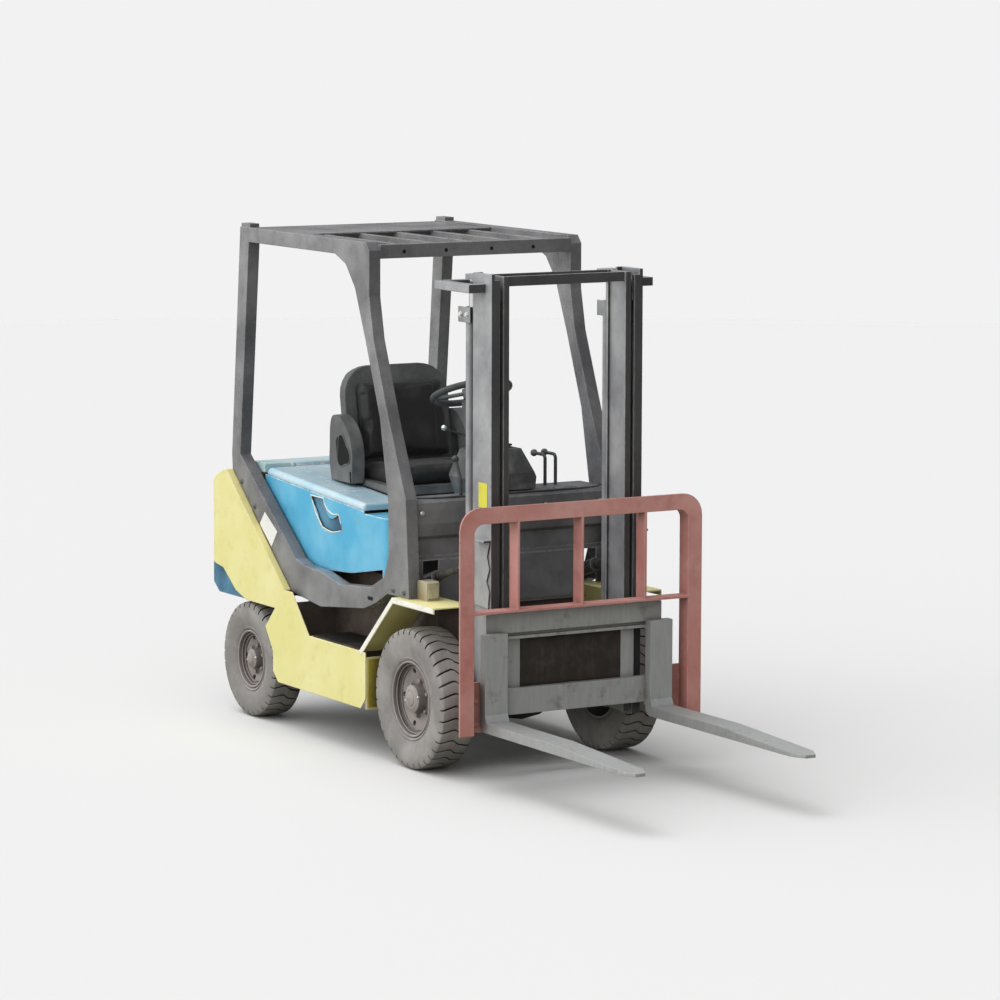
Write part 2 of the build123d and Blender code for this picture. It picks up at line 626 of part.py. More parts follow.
with BuildPart() as seat_shell:
    add_outline(side_at(-SEAT_HALF), [
        (SEAT_FRONT, lid_top(SEAT_FRONT)), (SEAT_REAR, lid_top(SEAT_REAR)), (SEAT_REAR + 20, 1120),
        (SEAT_REAR + 85, BACK_TOP - 50), (SEAT_REAR + 70, BACK_TOP - 20), (SEAT_REAR + 45, BACK_TOP - 20),
        (SEAT_REAR - 30, 1120), (SEAT_REAR - 45, SEAT_BASE_Z + 30), (SEAT_FRONT, SEAT_BASE_Z + 24),
    ], 2 * SEAT_HALF)
    cut_shoulders(SEAT_HALF, BACK_TOP - 20)
save(seat_shell.part, "seat_shell")
with BuildPart() as seat_cushion:
    add_outline(side_at(-SEAT_HALF + 14), [
        (SEAT_FRONT + 6, SEAT_BASE_Z + 24 + SEAT_GAP), (SEAT_REAR - 50, SEAT_BASE_Z + 30 + SEAT_GAP),
        (SEAT_REAR - 44, CUSHION_TOP - 20), (SEAT_REAR - 70, CUSHION_TOP - 20),
        (SEAT_FRONT + 30, CUSHION_TOP),
        (SEAT_FRONT + 6, CUSHION_TOP - 20),
    ], 2 * SEAT_HALF - 28)
save(seat_cushion.part, "seat_cushion")
with BuildPart() as seat_back:
    add_outline(side_at(-SEAT_HALF + 20), [
        (SEAT_REAR - 31, 1122), (SEAT_REAR + 44, BACK_TOP - 20), (SEAT_REAR + 30, BACK_TOP),
        (SEAT_REAR - 10, BACK_TOP - 6), (SEAT_REAR - 95, 1122),
    ], 2 * SEAT_HALF - 40)
    cut_shoulders(SEAT_HALF - 20, BACK_TOP)
save(seat_back.part, "seat_back")
with BuildPart() as seat_bolsters:
    with BuildSketch(side_at(SEAT_HALF)):
        with BuildLine():
            Spline(
                (SEAT_REAR - 150, BOLSTER_LOW), (SEAT_REAR - 150, 1190), (SEAT_REAR - 60, 1318),
                (SEAT_REAR + 20, 1330),
                (SEAT_REAR + 48, 1200), (SEAT_REAR + 30, BOLSTER_LOW), tangents=((0, 1), (-0.3, -1)),
            )
            Line((SEAT_REAR + 30, BOLSTER_LOW), (SEAT_REAR - 150, BOLSTER_LOW))
        make_face()
        with Locations((SEAT_REAR - 40, 1190)):
            SlotOverall(110, 56, rotation=80, mode=Mode.SUBTRACT)
    extrude(amount=BOLSTER)
    mirror(about=Plane.YZ)
save(seat_bolsters.part, "seat_bolsters")

# Counterweight: one casting with rounded rear corners, and cheeks that run forward beside the hood
CORNER_R = 140
CASTING_CORNER_R = 14
CHEEK_IN = GUARD_X + 2
WEIGHT_TOP = 1055
arch_slope = (ARCH_KNEE[0] - PANEL_CORNER[0]) / (PANEL_CORNER[1] - ARCH_KNEE[1])
arch_meet_y = PANEL_CORNER[0] + (PANEL_CORNER[1] - ARCH_TOP) * arch_slope
with BuildPart() as counterweight:
    with BuildSketch(plan_at(ARCH_TOP)) as weight_plan:
        with Locations((0, (WEIGHT_FRONT + REAR_REACH) / 2)):
            Rectangle(2 * BODY_HALF_WIDTH, REAR_REACH - WEIGHT_FRONT)
        fillet(weight_plan.vertices().group_by(Axis.Y)[-1], CORNER_R)
        for sign in (-1, 1):
            with Locations((sign * (CHEEK_IN + BODY_HALF_WIDTH) / 2, (1000 + WEIGHT_FRONT) / 2)):
                Rectangle(BODY_HALF_WIDTH - CHEEK_IN, WEIGHT_FRONT - 1000)
    extrude(amount=WEIGHT_TOP - ARCH_TOP)
    with BuildSketch(side_at(-BODY_HALF_WIDTH)) as weight_side:
        with BuildLine():
            Polyline(
                (1780, 700), (1740, 640), (1619, 624), (1500, 540), (WEIGHT_FRONT, ARCH_TOP),
                (arch_meet_y, ARCH_TOP), PANEL_CORNER,
                LEG_KNEE, (1600, WEIGHT_TOP), (1690, 1020),
            )
            Spline((1690, 1020), (1775, 930), (REAR_REACH, 800), (1780, 700))
        make_face()
    extrude(weight_side.sketch, amount=2 * BODY_HALF_WIDTH, mode=Mode.INTERSECT)
    for sign in (-1, 1):
        slot = sorted((sign * (GUARD_IN - 2), sign * CHEEK_IN))
        add_outline(side_at(slot[0]), [
            (WEIGHT_FRONT - 10, ARCH_TOP - 10), (WEIGHT_FRONT - 10, WEIGHT_TOP + 10),
            (LEG_KNEE[0] + 2, WEIGHT_TOP + 10),
            LEG_KNEE, (WEIGHT_FRONT, LEG_FOOT[1] + (WEIGHT_FRONT - LEG_FOOT[0]) * (
                LEG_KNEE[1] - LEG_FOOT[1]) / (LEG_KNEE[0] - LEG_FOOT[0])), (WEIGHT_FRONT, ARCH_TOP - 10),
        ], slot[1] - slot[0], Mode.SUBTRACT)
save(counterweight.part, "counterweight")

# Rear casting: the lower block under the counterweight, with the tow pocket and its pin
REAR_BLOCK = 1745
TOW_X = 45
TOW_Z = 585
TOW_PIN_R = 14
with BuildPart() as rear_casting:
    with BuildSketch(side_at(-BODY_HALF_WIDTH + 12)):
        with BuildLine():
            Polyline(
                (WEIGHT_FRONT, ARCH_TOP), (1500, 540), (1619, 624), (1740, 640), (REAR_BLOCK + 10, 657),
                (REAR_BLOCK + 10, 565),
                (1680, ARCH_TOP), close=True,
            )
        make_face()
    extrude(amount=2 * BODY_HALF_WIDTH - 24)
    with BuildSketch(plan_at(ARCH_TOP)) as rear_plan:
        with Locations((0, (WEIGHT_FRONT + REAR_BLOCK) / 2)):
            Rectangle(2 * BODY_HALF_WIDTH - 24, REAR_BLOCK - WEIGHT_FRONT - 2)
        fillet(rear_plan.vertices().group_by(Axis.Y)[-1], CASTING_CORNER_R)
    extrude(rear_plan.sketch, amount=200, mode=Mode.INTERSECT)
    add_block((-TOW_X, TOW_X), (REAR_BLOCK - 90, REAR_BLOCK + 40), (TOW_Z - 30, TOW_Z + 30), Mode.SUBTRACT)
    add_upright_cylinder(0, REAR_BLOCK - 40, TOW_PIN_R + 1, (TOW_Z - 100, TOW_Z + 30), Mode.SUBTRACT)
save(rear_casting.part, "rear_casting")
with BuildPart() as tow_pin:
    add_upright_cylinder(0, REAR_BLOCK - 40, TOW_PIN_R, (TOW_Z - 50, TOW_Z + 30))
save(tow_pin.part, "tow_pin")

# Rear cover: the low cap behind the lid, with the lugs and pins of the lid's hinge
REAR_COVER_FRONT = 1405
REAR_COVER_TOP = 1096
with BuildPart() as rear_cover:
    add_outline(side_at(-GUARD_IN + 12), [
        (REAR_COVER_FRONT, WEIGHT_TOP), (REAR_COVER_FRONT, REAR_COVER_TOP - 6),
        (REAR_COVER_FRONT + 6, REAR_COVER_TOP),
        (1530, REAR_COVER_TOP - 4), (1575, WEIGHT_TOP),
    ], 2 * GUARD_IN - 24)
    for sign in (-1, 1):
        lug = sorted((sign * (HINGE_HALF + 2), sign * (HINGE_HALF + 16)))
        add_block(lug, (HINGE_Y - 8, REAR_COVER_FRONT), (HINGE_Z - 8, HINGE_Z + 8))
        pin = sorted((sign * (HINGE_HALF - 40), sign * (HINGE_HALF + 16)))
        add_cross_cylinder(HINGE_Y, HINGE_Z, HINGE_PIN_R, pin)
save(rear_cover.part, "rear_cover")

# Front cowl: a folded sheet between the front pillars, with a step back over the toe board
COWL_SHEET = 5
COWL_TOP = 1085
CONSOLE_HALF = 145
LEVER_PLATE_REAR = 250
with BuildPart() as front_cowl:
    add_folded_sheet([
        (130, COWL_TOP + 6), (78, COWL_TOP), (64, COWL_TOP - 14), (COWL_Y + 2, 985), (COWL_Y + 12, 935),
        (92, 918),
        (92, 850), (70, 836), (70, FLOOR_TOP),
    ], COWL_SHEET, (-GUARD_IN + 2, GUARD_IN - 2))
    for sign in (-1, 1):
        gap = sorted((sign * (TILT_X - TILT_BARREL_R - 8), sign * (TILT_X + TILT_BARREL_R + 8)))
        add_block(gap, (40, 120), (FLOOR_TOP, 834), Mode.SUBTRACT)
        fender_side = sorted((sign * (FENDER_X - SHEET), sign * GUARD_IN))
        add_block(fender_side, (40, 120), (FLOOR_TOP, PILLAR_FOOT_Z), Mode.SUBTRACT)
    add_block((CONSOLE_HALF + 6, GUARD_IN - 11), (COWL_Y + 50, LEVER_PLATE_REAR), (COWL_TOP, COWL_TOP + 7))
save(front_cowl.part, "front_cowl")

# Dashboard: the console behind the cowl and the cover of the steering column
column_angle = radians(COLUMN_TILT)
COLUMN = Plane(
    origin=SIDE.from_local_coords((WHEEL_PLACE[0], WHEEL_PLACE[1], 0)), x_dir=(1, 0, 0),
    z_dir=(0, sin(column_angle), cos(column_angle)),
)
COWL_EDGE = 131
SHAFT_R = 11
with BuildPart() as dashboard:
    with BuildSketch(front_at(330)):
        with BuildLine():
            Polyline(
                (-120, COWL_TOP - 60), (-CONSOLE_HALF, 1140), (-105, 1255), (105, 1255), (CONSOLE_HALF, 1140),
                (120, COWL_TOP - 60), close=True,
            )
        make_face()
    extrude(amount=236)
    with BuildSketch(side_at(-CONSOLE_HALF)) as console_side:
        with BuildLine():
            Polyline(
                (102, COWL_TOP + 8), (112, 1160), (170, 1262), (300, 1262), (330, 1150), (290, COWL_TOP - 60),
                (COWL_EDGE, COWL_TOP - 60), (COWL_EDGE, COWL_TOP + 8), close=True,
            )
        make_face()
    extrude(console_side.sketch, amount=2 * CONSOLE_HALF, mode=Mode.INTERSECT)
    with BuildSketch(COLUMN.offset(-300)) as column_foot:
        RectangleRounded(120, 100, 24)
    with BuildSketch(COLUMN.offset(-34)) as column_head:
        RectangleRounded(84, 76, 24)
    loft([column_foot.sketch.face(), column_head.sketch.face()])
    with BuildSketch(COLUMN.offset(-34)) as shaft:
        Circle(SHAFT_R)
    extrude(shaft.sketch, amount=30)
save(dashboard.part, "dashboard")

# Steering wheel: rim, hub and three spokes with the spinner knob
HUB_HALF = 16
with BuildPart() as steering_wheel:
    with BuildSketch(Plane(origin=COLUMN.origin, x_dir=COLUMN.x_dir, z_dir=-COLUMN.y_dir)):
        with Locations((WHEEL_RIM_R, 0)):
            Circle(WHEEL_GRIP_R)
    revolve(axis=Axis(COLUMN.origin, COLUMN.z_dir))
    with BuildSketch(COLUMN.offset(-HUB_HALF - 10)) as hub:
        Circle(36)
    extrude(hub.sketch, amount=2 * HUB_HALF + 10)
    with BuildSketch(COLUMN.offset(-6)) as spokes:
        with PolarLocations(0, 3, start_angle=-90):
            with Locations((WHEEL_RIM_R / 2, 0)):
                Rectangle(WHEEL_RIM_R, 30)
    extrude(spokes.sketch, amount=10)
    with BuildSketch(COLUMN.offset(-HUB_HALF - 10)) as shaft_bore:
        Circle(SHAFT_R + RUNNING_FIT)
    extrude(shaft_bore.sketch, amount=HUB_HALF + 16, mode=Mode.SUBTRACT)
save(steering_wheel.part, "steering_wheel")

# Driver's controls: two lift levers bent at the top, the hand brake lever and three pedals
LEVER_R = 7
lever_paths = {
    240: [(200, COWL_TOP + 7.3), (200, 1216), (290, 1216)],
    290: [(200, COWL_TOP + 7.3), (200, 1216), (290, 1216)],
    -215: [(105, COWL_TOP + 4.2), (105, 1150), (150, 1230)],
}
with BuildPart() as driver_controls:
    for lever_x, path in lever_paths.items():
        with BuildLine(side_at(lever_x)) as lever_line:
            FilletPolyline(*path, radius=18)
        start = lever_line.line @ 0
        with BuildSketch(Plane(origin=start, z_dir=lever_line.line % 0)) as rod:
            Circle(LEVER_R)
        sweep(rod.sketch, path=lever_line.line)
        with Locations(lever_line.line @ 1):
            Sphere(15)
    for pedal_x in (-130, 70, 170):
        add_outline(side_at(pedal_x - 30), [
            (150, FLOOR_TOP), (162, FLOOR_TOP), (190, 760), (216, 790), (208, 798), (180, 768),
        ], 60)
save(driver_controls.part, "driver_controls")

# Work lamps on the fenders
with BuildPart() as lamps:
    for sign in (-1, 1):
        lamp = sorted((sign * 408, sign * 464))
        add_block(lamp, (-60, 20), (PILLAR_FOOT_Z, 768))
    fillet(lamps.edges().filter_by(Axis.X).group_by(Axis.Z)[-1], 10)
save(lamps.part, "lamps")

# Mast rollers: each runs between the flanges of the neighbouring rail
OUTER_ROLLER_Z = 1925
INNER_ROLLER_Z = 385
CARRIAGE_ROLLERS_Z = (400, 600)
BRACKET_X = (236, 256)
STUB_R = 20
ROLLER_SIDE_GAP = 3


def add_rollers(roller_z, x_mount, x_end):
    """Pair of mast rollers on stubs: the stub starts at x_mount, the roller ends at x_end."""
    toward = 1 if x_end > x_mount else -1
    stub = sorted((x_mount - toward, x_end))
    body = sorted((x_mount + toward * ROLLER_SIDE_GAP, x_end))
    for side in (-1, 1):
        add_cross_cylinder(ROLLER_Y, roller_z, STUB_R, sorted((side * stub[0], side * stub[1])))
        add_cross_cylinder(ROLLER_Y, roller_z, ROLLER_R, sorted((side * body[0], side * body[1])))

# Outer mast: two channels, cross plates, the top tie, feet on the axle trunnions and tilt lugs
FOOT_R = 78
FOOT_TOP = 400
FOOT_X = (OUTER_RAIL_X - 2 - MAST_FOOT_WIDTH, OUTER_RAIL_X - 2)
NOTCH = 23
LOW_CROSS_Z = (242, 312)
HIGH_CROSS_Z = (580, 645)
LUG_PLATE = 7
TILT_LUG_R = 26
TIE_FRONT = -327
TIE_REAR = -52


def add_channel(x_web, x_open, web, z_range):
    """Extrude one mast channel whose flanges run from the web towards x_open."""
    back = x_web - web if x_open < x_web else x_web + web
    with BuildSketch(plan_at(z_range[0])) as channel:
        with BuildLine():
            Polyline(
                (x_web, MAST_FRONT), (x_open, MAST_FRONT), (x_open, MAST_FRONT + RAIL_FLANGE),
                (back, MAST_FRONT + RAIL_FLANGE), (back, MAST_REAR - RAIL_FLANGE),
                (x_open, MAST_REAR - RAIL_FLANGE), (x_open, MAST_REAR), (x_web, MAST_REAR), close=True,
            )
        make_face()
    extrude(channel.sketch, amount=z_range[1] - z_range[0])


with BuildPart() as mast_outer:
    outer_open = OUTER_RAIL_X - OUTER_RAIL_WIDTH
    add_channel(OUTER_RAIL_X, outer_open, OUTER_WEB, (OUTER_RAIL_BOTTOM, MAST_HEIGHT))
    add_block((outer_open, OUTER_RAIL_X - OUTER_WEB), (MAST_FRONT, MAST_FRONT + RAIL_FLANGE),
              (MAST_HEIGHT - NOTCH, MAST_HEIGHT), Mode.SUBTRACT)
    add_outline(side_at(FOOT_X[0]), [
        (MAST_REAR, OUTER_RAIL_BOTTOM), (MAST_REAR, FOOT_TOP), (MAST_REAR + 76, FOOT_TOP),
        (-30, FRONT_TYRE_R + FOOT_R - 6),
        (0, FRONT_TYRE_R + FOOT_R), (0, FRONT_TYRE_R - FOOT_R), (-30, FRONT_TYRE_R - FOOT_R + 6),
    ], MAST_FOOT_WIDTH)
    add_cross_cylinder(0, FRONT_TYRE_R, FOOT_R, FOOT_X)
    add_cross_cylinder(0, FRONT_TYRE_R, TRUNNION_R + RUNNING_FIT, FOOT_X, Mode.SUBTRACT)
    add_outline(side_at(OUTER_RAIL_X), [
        (MAST_REAR, 700), (MAST_FRONT + 14, 690), (MAST_FRONT + 4, 760), (MAST_FRONT + 26, 800),
        (MAST_FRONT + 4, 850), (MAST_FRONT + 22, 900), (MAST_FRONT + 2, 958), (MAST_REAR, 958),
        (TILT_MAST_PIN[0], TILT_MAST_PIN[1] + TILT_LUG_R), (TILT_MAST_PIN[0], TILT_MAST_PIN[1] - TILT_LUG_R),
    ], LUG_PLATE)
    add_cross_cylinder(*TILT_MAST_PIN, TILT_LUG_R, (OUTER_RAIL_X, OUTER_RAIL_X + LUG_PLATE))
    add_cross_cylinder(*TILT_MAST_PIN, TILT_PIN_R, (OUTER_RAIL_X + LUG_PLATE,
        TILT_X + TILT_EYE_WIDTH / 2 + 4))
    add_block((OUTER_RAIL_X, OUTER_RAIL_X + 34), (MAST_FRONT + 2, MAST_FRONT + 84), (958, 966))
    tie_out = OUTER_RAIL_X + TIE_REACH
    with BuildSketch(plan_at(TIE_TOP - TIE_HEIGHT)):
        with BuildLine():
            Polyline(
                (OUTER_RAIL_X, TIE_FRONT), (tie_out, TIE_FRONT), (tie_out, TIE_REAR), (0, TIE_REAR),
                (0, TIE_REAR - TIE_BAR), (tie_out - TIE_BAR, TIE_REAR - TIE_BAR),
                (tie_out - TIE_BAR, TIE_FRONT + TIE_BAR), (OUTER_RAIL_X, TIE_FRONT + TIE_BAR), close=True,
            )
        make_face()
    extrude(amount=TIE_HEIGHT)
    mirror(about=Plane.YZ)
    for cross_z in (LOW_CROSS_Z, HIGH_CROSS_Z):
        add_block((-OUTER_RAIL_X, OUTER_RAIL_X), (CROSS_FRONT, CROSS_FRONT + CROSS_PLATE), cross_z)
        add_block((outer_open, OUTER_RAIL_X), (MAST_REAR, CROSS_FRONT), cross_z)
        add_block((-OUTER_RAIL_X, -outer_open), (MAST_REAR, CROSS_FRONT), cross_z)
    add_rollers(OUTER_ROLLER_Z, OUTER_RAIL_X - OUTER_WEB, INNER_WEB_OUT + 2)
save(mast_outer.part, "mast_outer")

# Inner mast: two I section rails joined at the top and the bottom, with the heads of the lift rods
INNER_CROSS = (ROLLER_Y + ROLLER_R + SAFE_GAP, CROSS_FRONT - SAFE_GAP)
HEAD_Z = 1990
HEAD_PLATE = 20
INNER_RAIL_TOP = MAST_HEIGHT - 10
with BuildPart() as mast_inner:
    for web_from, flange_to in ((INNER_WEB_OUT, INNER_RAIL_OUT), (INNER_WEB_IN, INNER_RAIL_IN)):
        low, high = sorted((web_from, flange_to))
        for flange_y in ((MAST_FRONT, MAST_FRONT + RAIL_FLANGE), (MAST_REAR - RAIL_FLANGE, MAST_REAR)):
            add_block((low, high), flange_y, (INNER_RAIL_BOTTOM, INNER_RAIL_TOP))
    add_block((INNER_WEB_IN, INNER_WEB_OUT), (MAST_FRONT, MAST_REAR), (INNER_RAIL_BOTTOM, INNER_RAIL_TOP))
    add_block((INNER_RAIL_OUT - 4, LIFT_X + LIFT_ROD_R + 6), (MAST_REAR + SAFE_GAP, LIFT_Y + LIFT_ROD_R + 6),
              (HEAD_Z, HEAD_Z + HEAD_PLATE))
    add_block((INNER_RAIL_IN, INNER_RAIL_OUT), (MAST_REAR, LIFT_Y + LIFT_ROD_R + 6),
        (HEAD_Z, HEAD_Z + HEAD_PLATE))
    mirror(about=Plane.YZ)
    add_block((-INNER_RAIL_IN, INNER_RAIL_IN), (MAST_FRONT + 10, MAST_FRONT + 24),
              (INNER_RAIL_TOP - 38, INNER_RAIL_TOP))
    for cross_z in (LOW_CROSS_Z, HIGH_CROSS_Z, (INNER_RAIL_TOP - TIE_BAR, INNER_RAIL_TOP)):
        add_block((-INNER_RAIL_IN, INNER_RAIL_IN), INNER_CROSS, cross_z)
    add_rollers(INNER_ROLLER_Z, INNER_WEB_OUT, OUTER_RAIL_X - OUTER_WEB - 3)
save(mast_inner.part, "mast_inner")

# Lift cylinders: barrels clamped behind the outer rails, and rods under the heads of the inner mast
CLAMP_Z = (LIFT_BARREL_TOP - 62, LIFT_BARREL_TOP - 2)
ROD_BOTTOM = LIFT_BARREL_BOTTOM + 120
with BuildPart() as lift_cylinders:
    add_upright_cylinder(LIFT_X, LIFT_Y, LIFT_BARREL_R, (LIFT_BARREL_BOTTOM, LIFT_BARREL_TOP))
    add_block((INNER_RAIL_OUT + SAFE_GAP, LIFT_X + LIFT_ROD_R), (MAST_REAR, LIFT_Y), CLAMP_Z)
    add_upright_cylinder(LIFT_X, LIFT_Y, LIFT_ROD_R + RUNNING_FIT, (LIFT_BARREL_BOTTOM + 10, LIFT_BARREL_TOP),
                         Mode.SUBTRACT)
    mirror(about=Plane.YZ)
save(lift_cylinders.part, "lift_cylinders")
with BuildPart() as lift_rods:
    add_upright_cylinder(LIFT_X, LIFT_Y, LIFT_ROD_R, (ROD_BOTTOM, HEAD_Z))
    mirror(about=Plane.YZ)
save(lift_rods.part, "lift_rods")

# Carriage: two fork bars on side plates that carry the rollers, and the panel between them
LIP_DEPTH = 14
SLOT_LOW = 588
SLOT_HEIGHT = 14
RIB_DEPTH = 14.5
SIDE_FLANGE_X = 297
with BuildPart() as carriage:
    bar_low = (CARRIAGE_BOTTOM, CARRIAGE_BOTTOM + BAR_HEIGHT)
    bar_high = (CARRIAGE_TOP - BAR_HEIGHT, CARRIAGE_TOP)
    for bar in (bar_low, bar_high):
        add_block((-BAR_HALF_LENGTH, BAR_HALF_LENGTH), (BAR_FRONT, BAR_REAR), bar)
    add_block((-BAR_HALF_LENGTH, BAR_HALF_LENGTH), (BAR_FRONT, BAR_FRONT + LIP_DEPTH),
              (SLOT_LOW, SLOT_LOW + SLOT_HEIGHT), Mode.SUBTRACT)
    add_block((-BAR_HALF_LENGTH, BAR_HALF_LENGTH), (BAR_FRONT + RIB_DEPTH, BAR_REAR),
              (CARRIAGE_BOTTOM, CARRIAGE_BOTTOM + 17), Mode.SUBTRACT)
    for sign in (-1, 1):
        flange = sorted((sign * BRACKET_X[0], sign * SIDE_FLANGE_X))
        add_block(flange, (BAR_REAR, MAST_FRONT - SAFE_GAP), (CARRIAGE_BOTTOM + 17, CARRIAGE_TOP))
        bracket = sorted((sign * BRACKET_X[0], sign * BRACKET_X[1]))
        add_block(bracket, (BAR_REAR, MAST_REAR - 20), (CARRIAGE_BOTTOM + 17, CARRIAGE_TOP - 40))
    add_block((-BRACKET_X[0], BRACKET_X[0]), (BAR_REAR + 8, BAR_REAR + 14),
        (CARRIAGE_BOTTOM + 17, CARRIAGE_TOP - 40))
    for roller_z in CARRIAGE_ROLLERS_Z:
        add_rollers(roller_z, BRACKET_X[1], INNER_WEB_IN - 2)
save(carriage.part, "carriage")

# Load backrest: an angle iron frame with three flat bars and a cross bar
BACKREST_BOTTOM = 214
CORNER_OUT = 90
CORNER_IN = 40
window_x = BACKREST_HALF_WIDTH - BACKREST_ANGLE
window_top = BACKREST_TOP - BACKREST_ANGLE
backrest_rear = BACKREST_FRONT + BACKREST_ANGLE


with BuildPart() as backrest:
    outer_arch = arch_points(BACKREST_HALF_WIDTH, BACKREST_TOP, CORNER_OUT, BACKREST_BOTTOM)
    inner_arch = arch_points(window_x, window_top, CORNER_IN, BACKREST_BOTTOM)
    flange_x = window_x + BACKREST_SHEET
    flange_arch = arch_points(flange_x, window_top + BACKREST_SHEET, CORNER_IN + BACKREST_SHEET,
        BACKREST_BOTTOM)
    add_outline(front_at(BACKREST_FRONT + BACKREST_SHEET), outer_arch + inner_arch[::-1], BACKREST_SHEET)
    add_outline(front_at(backrest_rear), flange_arch + inner_arch[::-1], BACKREST_ANGLE)
    add_block((-window_x, window_x), (BACKREST_FRONT, backrest_rear),
              (BACKREST_CROSSBAR - 5, BACKREST_CROSSBAR + 5))
    for bar_x in (-295, 0, 295):
        add_block((bar_x - 5, bar_x + 5), (BACKREST_FRONT, backrest_rear),
            (BACKREST_CROSSBAR, window_top + 2))
    for sign in (-1, 1):
        gusset = sorted((sign * BAR_HALF_LENGTH, sign * (window_x + BACKREST_SHEET)))
        add_block(gusset, (backrest_rear, backrest_rear + BACKREST_SHEET), (BACKREST_BOTTOM, 415))
save(backrest.part, "backrest")

# Forks: tapered blades with a hook in the slot of the upper bar and a heel hook under the lower bar
HEEL_R = 60
HOOK_X = (-52, 15)
with BuildPart() as fork_left:
    add_outline(side_at(FORK_X - FORK_WIDTH / 2), [
        (SHANK_REAR, SHANK_TOP), (SHANK_FRONT, SHANK_TOP), (SHANK_FRONT, FORK_BOTTOM + FORK_THICKNESS + 30),
        (SHANK_FRONT - 14, FORK_BOTTOM + FORK_THICKNESS), (SHANK_FRONT - 500, FORK_BOTTOM + FORK_THICKNESS),
        (-FORK_REACH, FORK_BOTTOM + FORK_TIP), (-FORK_REACH, FORK_BOTTOM), (SHANK_REAR, FORK_BOTTOM),
    ], FORK_WIDTH)
    heel = fork_left.edges().filter_by(Axis.X).sort_by(Axis.Z)[:3].sort_by(Axis.Y)[-1]
    fillet(heel, HEEL_R - 20)
    tip_edges = fork_left.edges().filter_by(Axis.Z).group_by(Axis.Y)[0]
    chamfer(tip_edges, 60, 30)
    hook = (FORK_X + HOOK_X[0], FORK_X + HOOK_X[1])
    add_block(hook, (SHANK_REAR, SHANK_REAR + LIP_DEPTH - 1), (SLOT_LOW + 1, SLOT_LOW + SLOT_HEIGHT - 1))
    add_block(hook, (SHANK_REAR, BAR_FRONT + RIB_DEPTH + 12), (CARRIAGE_BOTTOM - 12, CARRIAGE_BOTTOM - 1))
    add_block(hook, (BAR_FRONT + RIB_DEPTH + 1, BAR_FRONT + RIB_DEPTH + 12),
        (CARRIAGE_BOTTOM - 12, CARRIAGE_BOTTOM + 12))
save(fork_left.part, "fork_left")
with BuildPart() as fork_right:
    mirror(fork_left.part, about=Plane.YZ)
save(fork_right.part, "fork_right")

# Tilt cylinders: barrels on the floor lugs, and rods whose eyes go round the mast pins
tilt_run = (TILT_MAST_PIN[0] - TILT_BODY_PIN[0], TILT_MAST_PIN[1] - TILT_BODY_PIN[1])
tilt_length = hypot(*tilt_run)
tilt_direction = Vector(0, tilt_run[0] / tilt_length, tilt_run[1] / tilt_length)
TILT_LINE = Plane(
    origin=SIDE.from_local_coords((TILT_BODY_PIN[0], TILT_BODY_PIN[1], TILT_X)), x_dir=(1, 0, 0),
    z_dir=tilt_direction,
)
TILT_BARREL = (30, 232)
TILT_ROD_START = 150
EYE_OUT = 27


def add_eye(plane_point, outer_r, hole_r):
    """Eye of a cylinder end, turned about the cross axis."""
    eye_x = (TILT_X - TILT_EYE_WIDTH / 2, TILT_X + TILT_EYE_WIDTH / 2)
    add_cross_cylinder(*plane_point, outer_r, eye_x)
    add_cross_cylinder(*plane_point, hole_r, eye_x, Mode.SUBTRACT)


def add_tilt_tube(start, end, radius, mode=Mode.ADD):
    """Extrude a cylinder along the line of the tilt cylinder."""
    with BuildSketch(TILT_LINE.offset(start)) as circle:
        Circle(radius)
    extrude(circle.sketch, amount=end - start, mode=mode)


with BuildPart() as tilt_barrels:
    add_tilt_tube(TILT_BARREL[0], TILT_BARREL[1], TILT_BARREL_R)
    add_tilt_tube(0, TILT_BARREL[0] + 1, TILT_EYE_WIDTH / 2 - 2)
    add_eye(TILT_BODY_PIN, EYE_OUT - 5, TILT_PIN_R + RUNNING_FIT)
    add_tilt_tube(TILT_BARREL[0] + 12, TILT_BARREL[1], TILT_ROD_R + RUNNING_FIT, Mode.SUBTRACT)
    mirror(about=Plane.YZ)
save(tilt_barrels.part, "tilt_barrels")
with BuildPart() as tilt_rods:
    add_tilt_tube(TILT_ROD_START, tilt_length - 20, TILT_ROD_R)
    add_eye(TILT_MAST_PIN, EYE_OUT, TILT_PIN_R + TILT_EYE_GAP)
    mirror(about=Plane.YZ)
save(tilt_rods.part, "tilt_rods")
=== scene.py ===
import logging
import math
from dataclasses import dataclass
from enum import Enum

import bmesh
import bpy
import numpy as np
from mathutils import Matrix, Vector


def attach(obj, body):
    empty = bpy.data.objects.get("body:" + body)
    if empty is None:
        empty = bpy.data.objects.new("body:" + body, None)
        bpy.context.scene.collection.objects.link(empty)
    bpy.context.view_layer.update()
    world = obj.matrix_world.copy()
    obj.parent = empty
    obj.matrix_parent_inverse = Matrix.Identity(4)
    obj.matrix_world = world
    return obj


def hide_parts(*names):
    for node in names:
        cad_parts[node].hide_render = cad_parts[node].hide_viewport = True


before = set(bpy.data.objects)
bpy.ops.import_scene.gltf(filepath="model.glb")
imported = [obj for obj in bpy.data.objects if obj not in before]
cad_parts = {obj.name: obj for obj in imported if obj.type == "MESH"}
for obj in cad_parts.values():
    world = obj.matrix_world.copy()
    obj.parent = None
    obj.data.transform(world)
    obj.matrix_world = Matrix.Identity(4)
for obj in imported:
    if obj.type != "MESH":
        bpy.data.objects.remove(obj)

MM = 0.001
FRONT_AXLE_Y = -132.0
SIDES = ((1, "left"), (-1, "right"))
FORWARD = (0.0, -1.0, 0.0)
BACK = (0.0, 1.0, 0.0)
SHARP = 20.0
SHADE_SAMPLES = 6
LOG = logging.getLogger("forklift")
Array = np.ndarray


